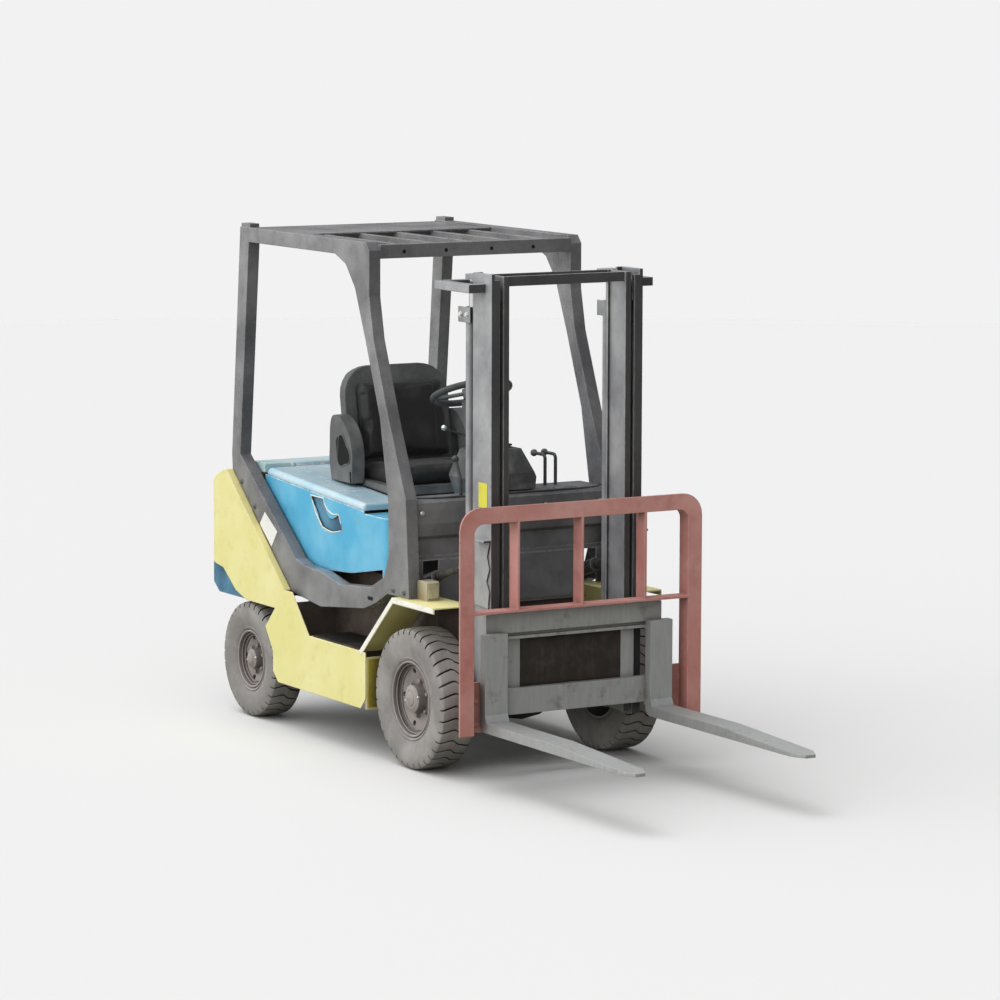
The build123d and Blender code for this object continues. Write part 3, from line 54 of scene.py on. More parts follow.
class Body(Enum):
    """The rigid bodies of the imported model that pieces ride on, besides the wheels."""

    CHASSIS = "chassis"
    HOOD = "hood_assembly"
    MAST_OUTER = "mast_outer_body"
    CARRIAGE = "carriage_body"


class Slot(Enum):
    """The record's material slots that pieces take."""

    YELLOW = "yellow_paint"
    BLUE = "blue_paint"
    BROWN = "brown_paint"
    GREY = "grey_paint"
    DARK = "dark_paint"
    RIM = "rim_paint"
    STEEL = "fork_steel"
    CHROME = "rod_chrome"
    RUBBER = "tyre_rubber"
    PLASTIC = "black_plastic"
    SHELL = "shell_plastic"
    VINYL = "seat_vinyl"


def linear(colour: str) -> tuple[float, float, float, float]:
    """Turn an sRGB hex colour into linear RGBA.

    Args:
        colour: six hex digits after a hash.

    Returns:
        Linear red, green and blue, with alpha 1.
    """
    values = [int(colour[i:i + 2], 16) / 255 for i in (1, 3, 5)]
    return (*[v / 12.92 if v <= 0.04045 else ((v + 0.055) / 1.055) ** 2.4 for v in values], 1.0)


def per_mm(size: float) -> float:
    """Texture scale whose features are about size millimetres across."""
    return 1.0 / (size * MM)


def put(tree: bpy.types.NodeTree, kind: str, settings: dict | None = None,
        links: dict | None = None, stops: list | None = None) -> bpy.types.Node:
    """Add a shader node with its settings and its links.

    Args:
        tree: node tree that gets the node.
        kind: node type, without its ShaderNode prefix.
        settings: attribute or input name or input number, and its value.
        links: input name or number, and the socket that feeds it.
        stops: position and hex colour of each stop of a colour ramp.

    Returns:
        The new node.
    """
    node = tree.nodes.new("ShaderNode" + kind)
    for key, value in (settings or {}).items():
        if isinstance(key, str) and hasattr(node, key):
            setattr(node, key, value)
        else:
            node.inputs[key].default_value = value
    for key, socket in (links or {}).items():
        tree.links.new(socket, node.inputs[key])
    if stops:
        elements = node.color_ramp.elements
        while len(elements) < len(stops):
            elements.new(1.0)
        for element, (position, colour) in zip(elements, stops):
            element.position = position
            element.color = linear(colour)
    return node


def new_material(name: str) -> tuple[bpy.types.Material, bpy.types.NodeTree]:
    """Make an empty node material and return it with its tree."""
    material = bpy.data.materials.new(name)
    material.use_nodes = True
    material.node_tree.nodes.clear()
    return material, material.node_tree


def close_material(tree: bpy.types.NodeTree, settings: dict, links: dict) -> None:
    """Add the principled shader and the output that end a material."""
    shader = put(tree, "BsdfPrincipled", settings, links)
    put(tree, "OutputMaterial", links={"Surface": shader.outputs[0]})


def noise(tree: bpy.types.NodeTree, coords: bpy.types.NodeSocket, size: float, detail: float,
          roughness: float = 0.5) -> bpy.types.NodeSocket:
    """Noise whose features are about size mm across."""
    settings = {"Scale": per_mm(size), "Detail": detail, "Roughness": roughness}
    return put(tree, "TexNoise", settings, {"Vector": coords}).outputs[0]


def fade(tree: bpy.types.NodeTree, value: bpy.types.NodeSocket, start: float, end: float,
         low: float = 0.0, high: float = 1.0) -> bpy.types.NodeSocket:
    """Turn a value between start and end into one between low and high."""
    settings = {"From Min": start, "From Max": end, "To Min": low, "To Max": high}
    return put(tree, "MapRange", settings, {"Value": value}).outputs[0]


def mask(tree: bpy.types.NodeTree, coords: bpy.types.NodeSocket, size: float, low: float, high: float,
         detail: float = 6.0) -> bpy.types.NodeSocket:
    """Patchy mask: a noise of the given size in mm, cut between two of its levels."""
    return fade(tree, noise(tree, coords, size, detail, 0.62), low, high)


def ramp(tree: bpy.types.NodeTree, value: bpy.types.NodeSocket, low: float, dark: str, high: float,
         light: str) -> bpy.types.NodeSocket:
    """Colour that goes from dark at the low level of a value to light at its high level."""
    return put(tree, "ValToRGB", links={"Fac": value}, stops=[(low, dark), (high, light)]).outputs[0]


def corner_shade_mask(tree: bpy.types.NodeTree, reach: float, start: float, end: float) -> bpy.types.NodeSocket:
    """How closed in a place is within reach mm, the mask for painted shade: 0 where it is open, 1 in a tight
    corner.
    """
    closed = put(tree, "AmbientOcclusion", {"samples": SHADE_SAMPLES, "Distance": reach * MM})
    return fade(tree, closed.outputs["AO"], start, end)


def blend_in(tree: bpy.types.NodeTree, base: bpy.types.NodeSocket, colour: str,
             factor: bpy.types.NodeSocket, amount: float = 1.0) -> bpy.types.NodeSocket:
    """Lay a colour over a base where a mask allows it, at most by amount."""
    scaled = put(tree, "Math", {"operation": "MULTIPLY", 1: amount}, {0: factor})
    mixed = put(tree, "Mix", {"data_type": "RGBA", 7: linear(colour)}, {0: scaled.outputs[0], 6: base})
    return mixed.outputs[2]


@dataclass(frozen=True)
class WornPaint:
    """Sprayed enamel on steel: mottled by sun and dust, worn at the edges, dirty in patches, with painted
    shade in the corners and on forward faces where asked.
    """

    name: str
    base: str
    faded: str
    worn: str
    grime_and_shade: str
    rust: str = "#5A3A2A"
    roughness: float = 0.42
    wear: float = 0.8
    dirt_and_shade: float = 0.6
    rusting: float = 0.35
    edge_mm: float = 5.0
    front_shade: float = 0.0
    cloud_mm: float = 260.0
    speck_mm: float = 9.0
    patch_mm: float = 70.0
    corner_shade_mm: float = 140.0
    chip_mm: float = 30.0
    peel_mm: float = 14.0

    def make(self) -> bpy.types.Material:
        """Build the material.

        Returns:
            Paint whose edges are found by rounding the normal, dirty in patches, with painted shade where a
            corner is closed and, as much as asked, on its forward faces.
        """
        material, tree = new_material(self.name)
        coords = put(tree, "TexCoord").outputs["Object"]
        paint = ramp(tree, noise(tree, coords, self.cloud_mm, 5.0, 0.6), 0.36, self.base, 0.68, self.faded)
        paint = blend_in(tree, paint, self.rust, mask(tree, coords, self.speck_mm, 0.64, 0.72), self.rusting)
        patch = mask(tree, coords, self.patch_mm, 0.52, 0.74, 9.0)
        paint = blend_in(tree, paint, self.grime_and_shade, patch, self.dirt_and_shade * 0.45)
        # painted shade: the grime colour laid in where a corner is closed
        paint = blend_in(tree, paint, self.grime_and_shade, corner_shade_mask(tree, self.corner_shade_mm, 0.85, 0.35), self.dirt_and_shade)
        rounded = put(tree, "Bevel", {"samples": SHADE_SAMPLES, "Radius": self.edge_mm * MM}).outputs[0]
        flat = put(tree, "NewGeometry").outputs["True Normal"]
        # painted shade: forward faces darkened towards the grime colour
        ahead = put(tree, "VectorMath", {"operation": "DOT_PRODUCT", 1: FORWARD}, {0: flat})
        front_shade_mask = fade(tree, ahead.outputs["Value"], 0.3, 0.9)
        paint = blend_in(tree, paint, self.grime_and_shade, front_shade_mask, self.front_shade)
        facing = put(tree, "VectorMath", {"operation": "DOT_PRODUCT"}, {0: rounded, 1: flat})
        edge = fade(tree, facing.outputs["Value"], 0.975, 0.90)
        chips = mask(tree, coords, self.chip_mm, 0.38, 0.56, 8.0)
        chipped = put(tree, "Math", {"operation": "MULTIPLY"}, {0: edge, 1: chips}).outputs[0]
        paint = blend_in(tree, paint, self.worn, chipped, self.wear)
        gloss = fade(tree, patch, 0.0, 1.0, self.roughness - 0.08, self.roughness + 0.22)
        bump = put(tree, "Bump", {"Strength": 0.10, "Distance": 0.002},
                   {"Height": noise(tree, coords, self.peel_mm, 4.0), "Normal": rounded})
        close_material(tree, {"Specular IOR Level": 0.45},
                       {"Base Color": paint, "Roughness": gloss, "Normal": bump.outputs[0]})
        return material


@dataclass(frozen=True)
class ScuffedSteel:
    """Bare rolled steel, scuffed along its length, stained in patches, with painted shade in its corners."""

    name: str
    base: str
    bright: str
    stain_and_shade: str
    stain_share: float
    roughness: float = 0.46
    grain_stretch: tuple[float, float, float] = (1.0, 1.0, 0.15)
    grain_mm: float = 16.0
    patch_mm: float = 90.0
    corner_shade_mm: float = 80.0
    edge_mm: float = 3.0

    def make(self) -> bpy.types.Material:
        """Build the material: a stretched grain for the scuffs, a patchy stain over it, and painted shade in
        the corners.
        """
        material, tree = new_material(self.name)
        coords = put(tree, "TexCoord").outputs["Object"]
        stretched = put(tree, "Mapping", {"Scale": self.grain_stretch}, {"Vector": coords}).outputs[0]
        grain = noise(tree, stretched, self.grain_mm, 8.0, 0.7)
        steel = ramp(tree, grain, 0.34, self.base, 0.66, self.bright)
        low = 0.66 - self.stain_share * 0.4
        patch = mask(tree, coords, self.patch_mm, low, 0.80 - self.stain_share * 0.3, 10.0)
        steel = blend_in(tree, steel, self.stain_and_shade, patch, 0.75)
        # painted shade: the stain colour laid in where a corner is closed
        steel = blend_in(tree, steel, self.stain_and_shade, corner_shade_mask(tree, self.corner_shade_mm, 0.8, 0.3), 0.8)
        metal = fade(tree, patch, 0.0, 1.0, 0.4, 0.1)
        gloss = fade(tree, grain, 0.0, 1.0, self.roughness - 0.1, self.roughness + 0.22)
        rounded = put(tree, "Bevel", {"samples": SHADE_SAMPLES, "Radius": self.edge_mm * MM}).outputs[0]
        bump = put(tree, "Bump", {"Strength": 0.08, "Distance": 0.001}, {"Height": grain, "Normal": rounded})
        close_material(tree, {}, {"Base Color": steel, "Metallic": metal, "Roughness": gloss,
                                  "Normal": bump.outputs[0]})
        return material


@dataclass(frozen=True)
class Moulded:
    """Moulded rubber, plastic or grained vinyl: one colour, dusted, with a fine pebbled grain."""

    name: str
    base: str
    dust: str
    dust_share: float
    grain_mm: float
    grain_depth: float
    roughness: float
    sheen: float = 0.0
    edge_mm: float = 3.0
    groove_shade: str = "#161514"
    groove_shade_mm: float = 14.0
    tone_mm: float = 120.0
    fine_mm: float = 22.0

    def make(self) -> bpy.types.Material:
        """Build the material: dust in patches, painted shade in its grooves and corners, over a pebbled
        grain.
        """
        material, tree = new_material(self.name)
        coords = put(tree, "TexCoord").outputs["Object"]
        shift = self.dust_share * 0.35
        skin = ramp(tree, noise(tree, coords, self.tone_mm, 7.0), 0.60 - shift, self.base, 0.90 - shift,
                    self.dust)
        fine = mask(tree, coords, self.fine_mm, 0.5, 0.78, 9.0)
        skin = blend_in(tree, skin, self.dust, fine, self.dust_share)
        # painted shade: the dark colour laid in grooves and corners
        skin = blend_in(tree, skin, self.groove_shade, corner_shade_mask(tree, self.groove_shade_mm, 0.8, 0.35), 0.9)
        pebbles = put(tree, "TexVoronoi", {"feature": "SMOOTH_F1", "Scale": per_mm(self.grain_mm)},
                      {"Vector": coords})
        rounded = put(tree, "Bevel", {"samples": 4, "Radius": self.edge_mm * MM}).outputs[0]
        bump = put(tree, "Bump", {"Strength": 0.35, "Distance": self.grain_depth * MM},
                   {"Height": pebbles.outputs["Distance"], "Normal": rounded})
        gloss = fade(tree, fine, 0.0, 1.0, self.roughness, min(1.0, self.roughness + 0.25))
        close_material(tree, {"Specular IOR Level": 0.4, "Sheen Weight": self.sheen},
                       {"Base Color": skin, "Roughness": gloss, "Normal": bump.outputs[0]})
        return material


@dataclass(frozen=True)
class Polished:
    """Ground and plated steel: bright, with faint smears."""

    name: str
    base: str
    roughness: float
    smear_mm: float = 25.0

    def make(self) -> bpy.types.Material:
        """Build the material: full metal whose smears only change its roughness."""
        material, tree = new_material(self.name)
        coords = put(tree, "TexCoord").outputs["Object"]
        gloss = fade(tree, noise(tree, coords, self.smear_mm, 6.0), 0.0, 1.0, self.roughness,
                     self.roughness + 0.2)
        close_material(tree, {"Base Color": linear(self.base), "Metallic": 1.0}, {"Roughness": gloss})
        return material


PALETTE = {
    # Panels: pale chalky yellow, brighter on its edges
    "yellow": WornPaint("yellow_enamel", "#E2DB92", "#E9E3A6", "#F8F5E6", "#A3924A", roughness=0.5,
                        wear=0.7, dirt_and_shade=0.5, rusting=0.08),
    # Inner fenders: a darker ochre, darker still in patches, with painted shade in the corners
    "arch": WornPaint("dark_ochre_enamel", "#A8972C", "#C9BA45", "#E9E2C0", "#2E2614", roughness=0.6,
                      wear=0.3, dirt_and_shade=0.95, rusting=0.8),
    # Lips: white as a painted highlight along the rolled edges, with black knocks
    "lip": WornPaint("chipped_white_highlight", "#E9E7D8", "#F4F2E8", "#FBFAF4", "#3A3830", roughness=0.5,
                     wear=0.2, dirt_and_shade=0.5, rusting=0.7),
    # Engine cover: glossy sky blue, white where it is rubbed
    "blue": WornPaint("blue_enamel", "#52B0D8", "#7CC4E2", "#F5F8F9", "#2C5F7C", roughness=0.2,
                      wear=1.0, dirt_and_shade=0.4, rusting=0.12, edge_mm=7.0),
    # Lid: the same blue made paler, a painted sky reflection on the top
    "bleached": WornPaint("pale_lid_blue_highlight_enamel", "#9FC3D2", "#C6D3D9", "#FAFBFB", "#4E88A4",
                          roughness=0.25, wear=0.9, dirt_and_shade=0.35, rusting=0.1, edge_mm=8.0),
    # Rear casting and scoops: the blue darkened as painted shade
    "navy": WornPaint("shaded_blue_enamel", "#2E5A78", "#5C97B4", "#C5DDE6", "#15222E", roughness=0.4,
                      wear=0.6, dirt_and_shade=0.6, rusting=0.3),
    # Rear cover: pale green blue band
    "pale_blue": WornPaint("faded_blue_enamel", "#A9CDD6", "#D3E3E2", "#F4F6F6", "#7FA0A8",
                           roughness=0.4, wear=0.6, dirt_and_shade=0.3, rusting=0.05),
    # Load backrest: matt red brown with dark flakes
    "oxide": WornPaint("oxide_red_primer", "#BB7C74", "#CF9A93", "#DDB5AE", "#5A2E22", rust="#3A1A12",
                       roughness=0.62, wear=0.5, dirt_and_shade=0.5, rusting=0.75),
    # Mast: light sides that catch the sky, fronts darkened as painted shade
    "grey": WornPaint("grey_enamel", "#85868A", "#ADAEB0", "#C4C5C6", "#1C1C1E", rust="#2B2422",
                      roughness=0.36, wear=0.35, dirt_and_shade=0.5, rusting=0.3, front_shade=0.85),
    # Guard: charcoal with a soft shine, fronts a little darkened as painted shade
    "guard": WornPaint("charcoal_enamel", "#68686B", "#909092", "#B8B8B9", "#1E1E20", rust="#262120",
                       roughness=0.34, wear=0.4, dirt_and_shade=0.5, rusting=0.3, front_shade=0.3),
    # Small fittings: near black with bright corners
    "dark": WornPaint("black_enamel", "#343537", "#5A5B5D", "#A7A8A8", "#17140F", rust="#3A2A1E",
                      roughness=0.45, wear=0.6, dirt_and_shade=0.65, rusting=0.3),
    # Cowl: dusty mid grey with a worn top edge
    "cowl": WornPaint("dusty_black_enamel", "#56575A", "#7B7C7E", "#C5C6C6", "#2B2823", rust="#3A2A1E",
                      roughness=0.38, wear=0.8, dirt_and_shade=0.6, rusting=0.3),
    # Frame and floor: brown grey mud over paint
    "frame": WornPaint("muddy_enamel", "#4F4641", "#756861", "#9B9089", "#211B17", rust="#33241B",
                       roughness=0.7, wear=0.3, dirt_and_shade=0.8, rusting=0.5),
    # Rims: dull paint under road dust
    "rim": WornPaint("dusty_enamel", "#8C8481", "#A09894", "#B5ADA9", "#453E3B", rust="#4A3F3B",
                     roughness=0.66, wear=0.35, dirt_and_shade=0.7, rusting=0.4),
    # Work lamps: ochre housing with painted shade at its foot
    "lamp": WornPaint("ochre_lamp_housing", "#8E8878", "#C9C2A6", "#E6E2D2", "#6E5A1E", rust="#3A2A1E",
                      roughness=0.3, wear=0.5, dirt_and_shade=0.8, rusting=0.6),
    # Axles and engine: rough dark castings
    "iron": WornPaint("sand_cast_iron", "#35332F", "#4A4743", "#6A6763", "#141210", rust="#3B2A20",
                      roughness=0.75, wear=0.2, dirt_and_shade=0.8, rusting=0.5, edge_mm=8.0),
    # Forks and carriage: pale bare steel with faint scuffs
    "steel": ScuffedSteel("scuffed_rolled_steel", "#A2A4A4", "#B1B3B3", "#625A53", 0.2),
    # Carriage panel: oily brown black
    "dirty_steel": ScuffedSteel("stained_rolled_steel", "#3C3632", "#57504A", "#1F1813", 0.9, roughness=0.7),
    # Tilt rods: dull oily bar
    "dull_rod": ScuffedSteel("oily_rod_steel", "#3A3836", "#6A6866", "#1E1B18", 0.7, roughness=0.4),
    # Lift rods and tow pin: mirror bright
    "chrome": Polished("hard_chrome", "#C9CBCC", 0.14),
    # Bolts: white plating that glints
    "zinc": Polished("zinc_plated_steel", "#E2E2DE", 0.22),
    # Tyres: dusty grey walls, grooves blackened as painted shade
    "tyre": Moulded("tyre_rubber", "#827F7D", "#9F9B98", 0.5, 5, 0.2, 0.8, edge_mm=2.0),
    # Dashboard and controls: pebbled dark plastic
    "plastic": Moulded("moulded_abs", "#3F4041", "#7A7B7B", 0.3, 2.2, 0.12, 0.48),
    # Seat shell: smooth grey plastic with broad soft edges
    "shell": Moulded("moulded_polyethylene", "#58595A", "#757776", 0.4, 3, 0.15, 0.45, edge_mm=8.0),
    # Cushions: black leathery grain with a faint sheen
    "vinyl": Moulded("grained_vinyl", "#1E1E1F", "#3A3938", 0.22, 4, 0.35, 0.5, sheen=0.12),
    # Mats: matt black, dusty
    "rubber": Moulded("ribbed_rubber", "#232323", "#4D4843", 0.45, 3, 0.2, 0.8),
    # Holes, gaps and recesses: near black as painted shade; the gauge's face is near black too
    "void": Moulded("shadowed_rubber", "#0C0C0D", "#161617", 0.1, 3, 0.1, 0.9),
    # Blank labels: satin film
    "label_white": Moulded("white_vinyl_label", "#E4E4E2", "#C2C1BC", 0.2, 3, 0.02, 0.5),
    "label_yellow": Moulded("yellow_vinyl_label", "#D9D24A", "#B9B23F", 0.2, 3, 0.02, 0.5),
    # Lamp lenses: cloudy and glossy
    "lens": Moulded("dusty_polycarbonate", "#8E8878", "#C9C2A6", 0.5, 6, 0.4, 0.22),
}


class Finishes:
    """Every finish of the palette, made once and shared by the pieces."""

    def __init__(self) -> None:
        """Build the materials, each under its name in the palette."""
        for name, finish in PALETTE.items():
            setattr(self, name, finish.make())


@dataclass
class Shape:
    """Points in mm, measured from the front axle's line, and the four-sided faces between them."""

    points: Array
    quads: Array

    def __add__(self, other: "Shape") -> "Shape":
        """Put two shapes into one."""
        return Shape(np.vstack([self.points, other.points]),
                     np.vstack([self.quads, other.quads + len(self.points)]))

    def placed(self, origin: tuple, x_axis: tuple = (1, 0, 0), z_axis: tuple = (0, 0, 1)) -> "Shape":
        """Turn the shape so that its own x and z follow two axes, and move it to origin.

        Args:
            origin: where the shape's own zero goes, in mm.
            x_axis: direction of the shape's x.
            z_axis: direction of the shape's z.

        Returns:
            The turned and moved shape.
        """
        z = np.array(z_axis, float)
        z /= np.linalg.norm(z)
        x = np.array(x_axis, float)
        x -= z * (x @ z)
        x /= np.linalg.norm(x)
        turn = np.array([x, np.cross(z, x), z])
        return Shape(self.points @ turn + np.array(origin, float), self.quads)


def gather(shapes: list[Shape]) -> Shape:
    """Put a list of shapes into one."""
    counts = np.cumsum([0] + [len(s.points) for s in shapes[:-1]])
    return Shape(np.vstack([s.points for s in shapes]),
                 np.vstack([s.quads + c for s, c in zip(shapes, counts)]))


def sheet_grid(points: Array, wrap_rows: bool = False, wrap_columns: bool = False) -> Shape:
    """Join a grid of points into faces.

    Args:
        points: rows by columns by 3.
        wrap_rows: the last row also joins the first.
        wrap_columns: the last column also joins the first.

    Returns:
        The shape, with one face for each cell of the grid.
    """
    rows, columns = points.shape[:2]
    i = np.arange(rows if wrap_rows else rows - 1)[:, None]
    j = np.arange(columns if wrap_columns else columns - 1)[None, :]
    a = i * columns + j
    b = i * columns + (j + 1) % columns
    c = ((i + 1) % rows) * columns + (j + 1) % columns
    d = ((i + 1) % rows) * columns + j
    return Shape(points.reshape(-1, 3), np.stack([a, b, c, d], -1).reshape(-1, 4))


def turned(profile: list[tuple[float, float]], sides: int = 24) -> Shape:
    """Turn a profile of (radius, height) once round z.

    The point at angle t on a profile point is (radius cos t, radius sin t, height).

    Args:
        profile: radii and heights, closed at a pole where the radius is 0.
        sides: number of steps round the axis.

    Returns:
        The turned shape.
    """
    radius, height = np.array(profile, float).T
    angle = np.arange(sides) * 2 * np.pi / sides
    points = np.stack([radius[:, None] * np.cos(angle), radius[:, None] * np.sin(angle),
                       np.broadcast_to(height[:, None], (len(radius), sides))], -1)
    return sheet_grid(points, wrap_columns=True)


def hexagon_head(radius: float, height: float) -> Shape:
    """Hexagon bolt head on its round washer, standing on z = 0."""
    washer = turned([(0, 0), (radius * 1.35, 0), (radius * 1.35, height * 0.22), (0, height * 0.22)], 20)
    head = turned([(0, 0), (radius, 0), (radius, height * 0.85), (radius * 0.82, height), (0, height)], 6)
    return washer + head


def soft_box(size: tuple[float, float, float], radius: float, steps: int = 4) -> Shape:
    """Box with rounded edges: a small sphere whose eight octants are moved out to the corners.

    Args:
        size: lengths along x, y and z.
        radius: edge radius.
        steps: steps in each quarter turn.

    Returns:
        The closed shape, centred on zero.
    """
    half = np.array(size, float) / 2 - radius
    quarter = np.linspace(0, np.pi / 2, steps + 1)
    turn = np.concatenate([quarter + k * np.pi / 2 for k in range(4)])
    side_x = np.repeat([1, -1, -1, 1], steps + 1)
    side_y = np.repeat([1, 1, -1, -1], steps + 1)
    tilt = np.concatenate([quarter - np.pi / 2, quarter])
    side_z = np.repeat([-1, 1], steps + 1)
    x = side_x * half[0] + radius * np.cos(tilt)[:, None] * np.cos(turn)
    y = side_y * half[1] + radius * np.cos(tilt)[:, None] * np.sin(turn)
    z = np.broadcast_to((side_z * half[2] + radius * np.sin(tilt))[:, None], x.shape)
    ring = np.stack([x, y, z], -1)
    poles = np.zeros((1, ring.shape[1], 3))
    poles[..., 2] = size[2] / 2
    return sheet_grid(np.concatenate([-poles, ring, poles]), wrap_columns=True)


def carried(profile: Array, path: Array, up: tuple = (0, 0, 1), closed: bool = False) -> Shape:
    """Carry a closed profile along a path.

    Each profile point (a, b) lies at path + a * side + b * lift, where side is the cross product of the
    path's direction and up, and lift is the cross product of side and direction.

    Args:
        profile: points of the profile, anticlockwise.
        path: points of the path.
        up: direction that the profile's second axis leans to.
        closed: the path ends where it starts.

    Returns:
        The swept shape, closed by a point in the middle of each end.
    """
    path = np.asarray(path, float)
    profile = np.asarray(profile, float)
    if closed:
        along = np.roll(path, -1, 0) - np.roll(path, 1, 0)
    else:
        along = np.gradient(path, axis=0)
    along /= np.linalg.norm(along, axis=1)[:, None]
    side = np.cross(along, np.array(up, float))
    side /= np.linalg.norm(side, axis=1)[:, None]
    lift = np.cross(side, along)
    rings = path[:, None] + profile[None, :, :1] * side[:, None] + profile[None, :, 1:] * lift[:, None]
    if closed:
        return sheet_grid(rings, wrap_rows=True, wrap_columns=True)
    ends = [np.broadcast_to(rings[k].mean(0), (1, *rings[k].shape)) for k in (0, -1)]
    return sheet_grid(np.concatenate([ends[0], rings, ends[1]]), wrap_columns=True)


def circle(radius: float, sides: int = 12) -> Array:
    """Points of a circle, as a profile."""
    angle = np.arange(sides) * 2 * np.pi / sides
    return np.stack([radius * np.cos(angle), radius * np.sin(angle)], -1)


def smooth_path(corners: list[tuple], steps: int = 8) -> Array:
    """Round a path's corners by the curve of uniform cubic B-spline blends, from end to end."""
    p = np.array([corners[0]] * 2 + list(corners) + [corners[-1]] * 2, float)
    t = np.linspace(0, 1, steps, endpoint=False)[:, None]
    blends = [(1 - t) ** 3 / 6, (3 * t ** 3 - 6 * t ** 2 + 4) / 6,
              (-3 * t ** 3 + 3 * t ** 2 + 3 * t + 1) / 6, t ** 3 / 6]
    runs = [sum(blends[k] * p[i + k] for k in range(4)) for i in range(len(p) - 3)]
    return np.vstack(runs + [p[-1:]])


def slab(outline: list[tuple[float, float]], thickness: float, edge: float) -> Shape:
    """Flat plate with an eased edge, from z = 0 to its thickness.

    The rings run from the middle of the bottom, round the edge, to the middle of the top: each ring is the
    outline drawn in towards its middle by a share, at its own height.

    Args:
        outline: corners of the plate, anticlockwise.
        thickness: height of the plate.
        edge: width of the eased edge.

    Returns:
        The closed plate.
    """
    points = np.array(outline, float)
    middle = points.mean(0)
    reach = np.linalg.norm(points - middle, axis=1)[:, None]
    inner = middle + (points - middle) * (1 - edge / reach)
    rings = [np.broadcast_to(middle, points.shape), inner, points, points, inner,
             np.broadcast_to(middle, points.shape)]
    heights = [0, 0, edge, thickness - edge, thickness, thickness]
    grid = np.stack([np.column_stack([r, np.full(len(points), h)]) for r, h in zip(rings, heights)])
    return sheet_grid(grid, wrap_columns=True)


def link_object(name: str, data: bpy.types.ID) -> bpy.types.Object:
    """Make an object at the origin and link it to the scene."""
    item = bpy.data.objects.new(name, data)
    bpy.context.scene.collection.objects.link(item)
    return item


def joined_mesh(name: str, points: Array, quads: Array, crease: float | None = None) -> bpy.types.Mesh:
    """Make a mesh whose coincident points are merged and whose faces look outward.

    Args:
        name: name of the mesh.
        points: places in metres.
        quads: four-sided faces.
        crease: faces that meet at less than this angle in degrees are shaded smooth, if it is given.

    Returns:
        The mesh.
    """
    mesh = bpy.data.meshes.new(name)
    mesh.from_pydata(points.tolist(), [], quads.tolist())
    work = bmesh.new()
    work.from_mesh(mesh)
    bmesh.ops.remove_doubles(work, verts=work.verts, dist=2e-6)
    if crease is not None:
        bmesh.ops.dissolve_degenerate(work, dist=1e-6, edges=work.edges)
    bmesh.ops.recalc_face_normals(work, faces=work.faces)
    if crease is not None:
        limit = math.radians(crease)
        for face in work.faces:
            face.smooth = True
        for edge in work.edges:
            edge.smooth = len(edge.link_faces) == 2 and edge.calc_face_angle(0.0) < limit
    work.to_mesh(mesh)
    work.free()
    return mesh


def add_piece(name: str, shape: Shape, material: bpy.types.Material, body: Body | str,
              replaces: tuple[str, ...] = (), crease: float = 40.0) -> bpy.types.Object:
    """Make a shape an object of the truck.

    Args:
        name: name of the piece.
        shape: its shape in mm, from the front axle.
        material: its finish.
        body: the body it rides on.
        replaces: CAD nodes that it stands for.
        crease: faces that meet at less than this angle in degrees are shaded smooth.

    Returns:
        The object, at the origin.
    """
    place = shape.points * MM
    place[:, 1] += FRONT_AXLE_Y * MM
    piece = link_object(name, joined_mesh(name, place, shape.quads, crease))
    piece.data.materials.append(material)
    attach(piece, body if isinstance(body, str) else body.value)
    if replaces:
        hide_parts(*replaces)
    LOG.info("%s: %d faces", name, len(piece.data.polygons))
    return piece


def dress(material: bpy.types.Material, *nodes: str) -> None:
    """Give CAD nodes a finish in place of the one they were packed with."""
    for node in nodes:
        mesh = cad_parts[node].data
        mesh.materials.clear()
        mesh.materials.append(material)


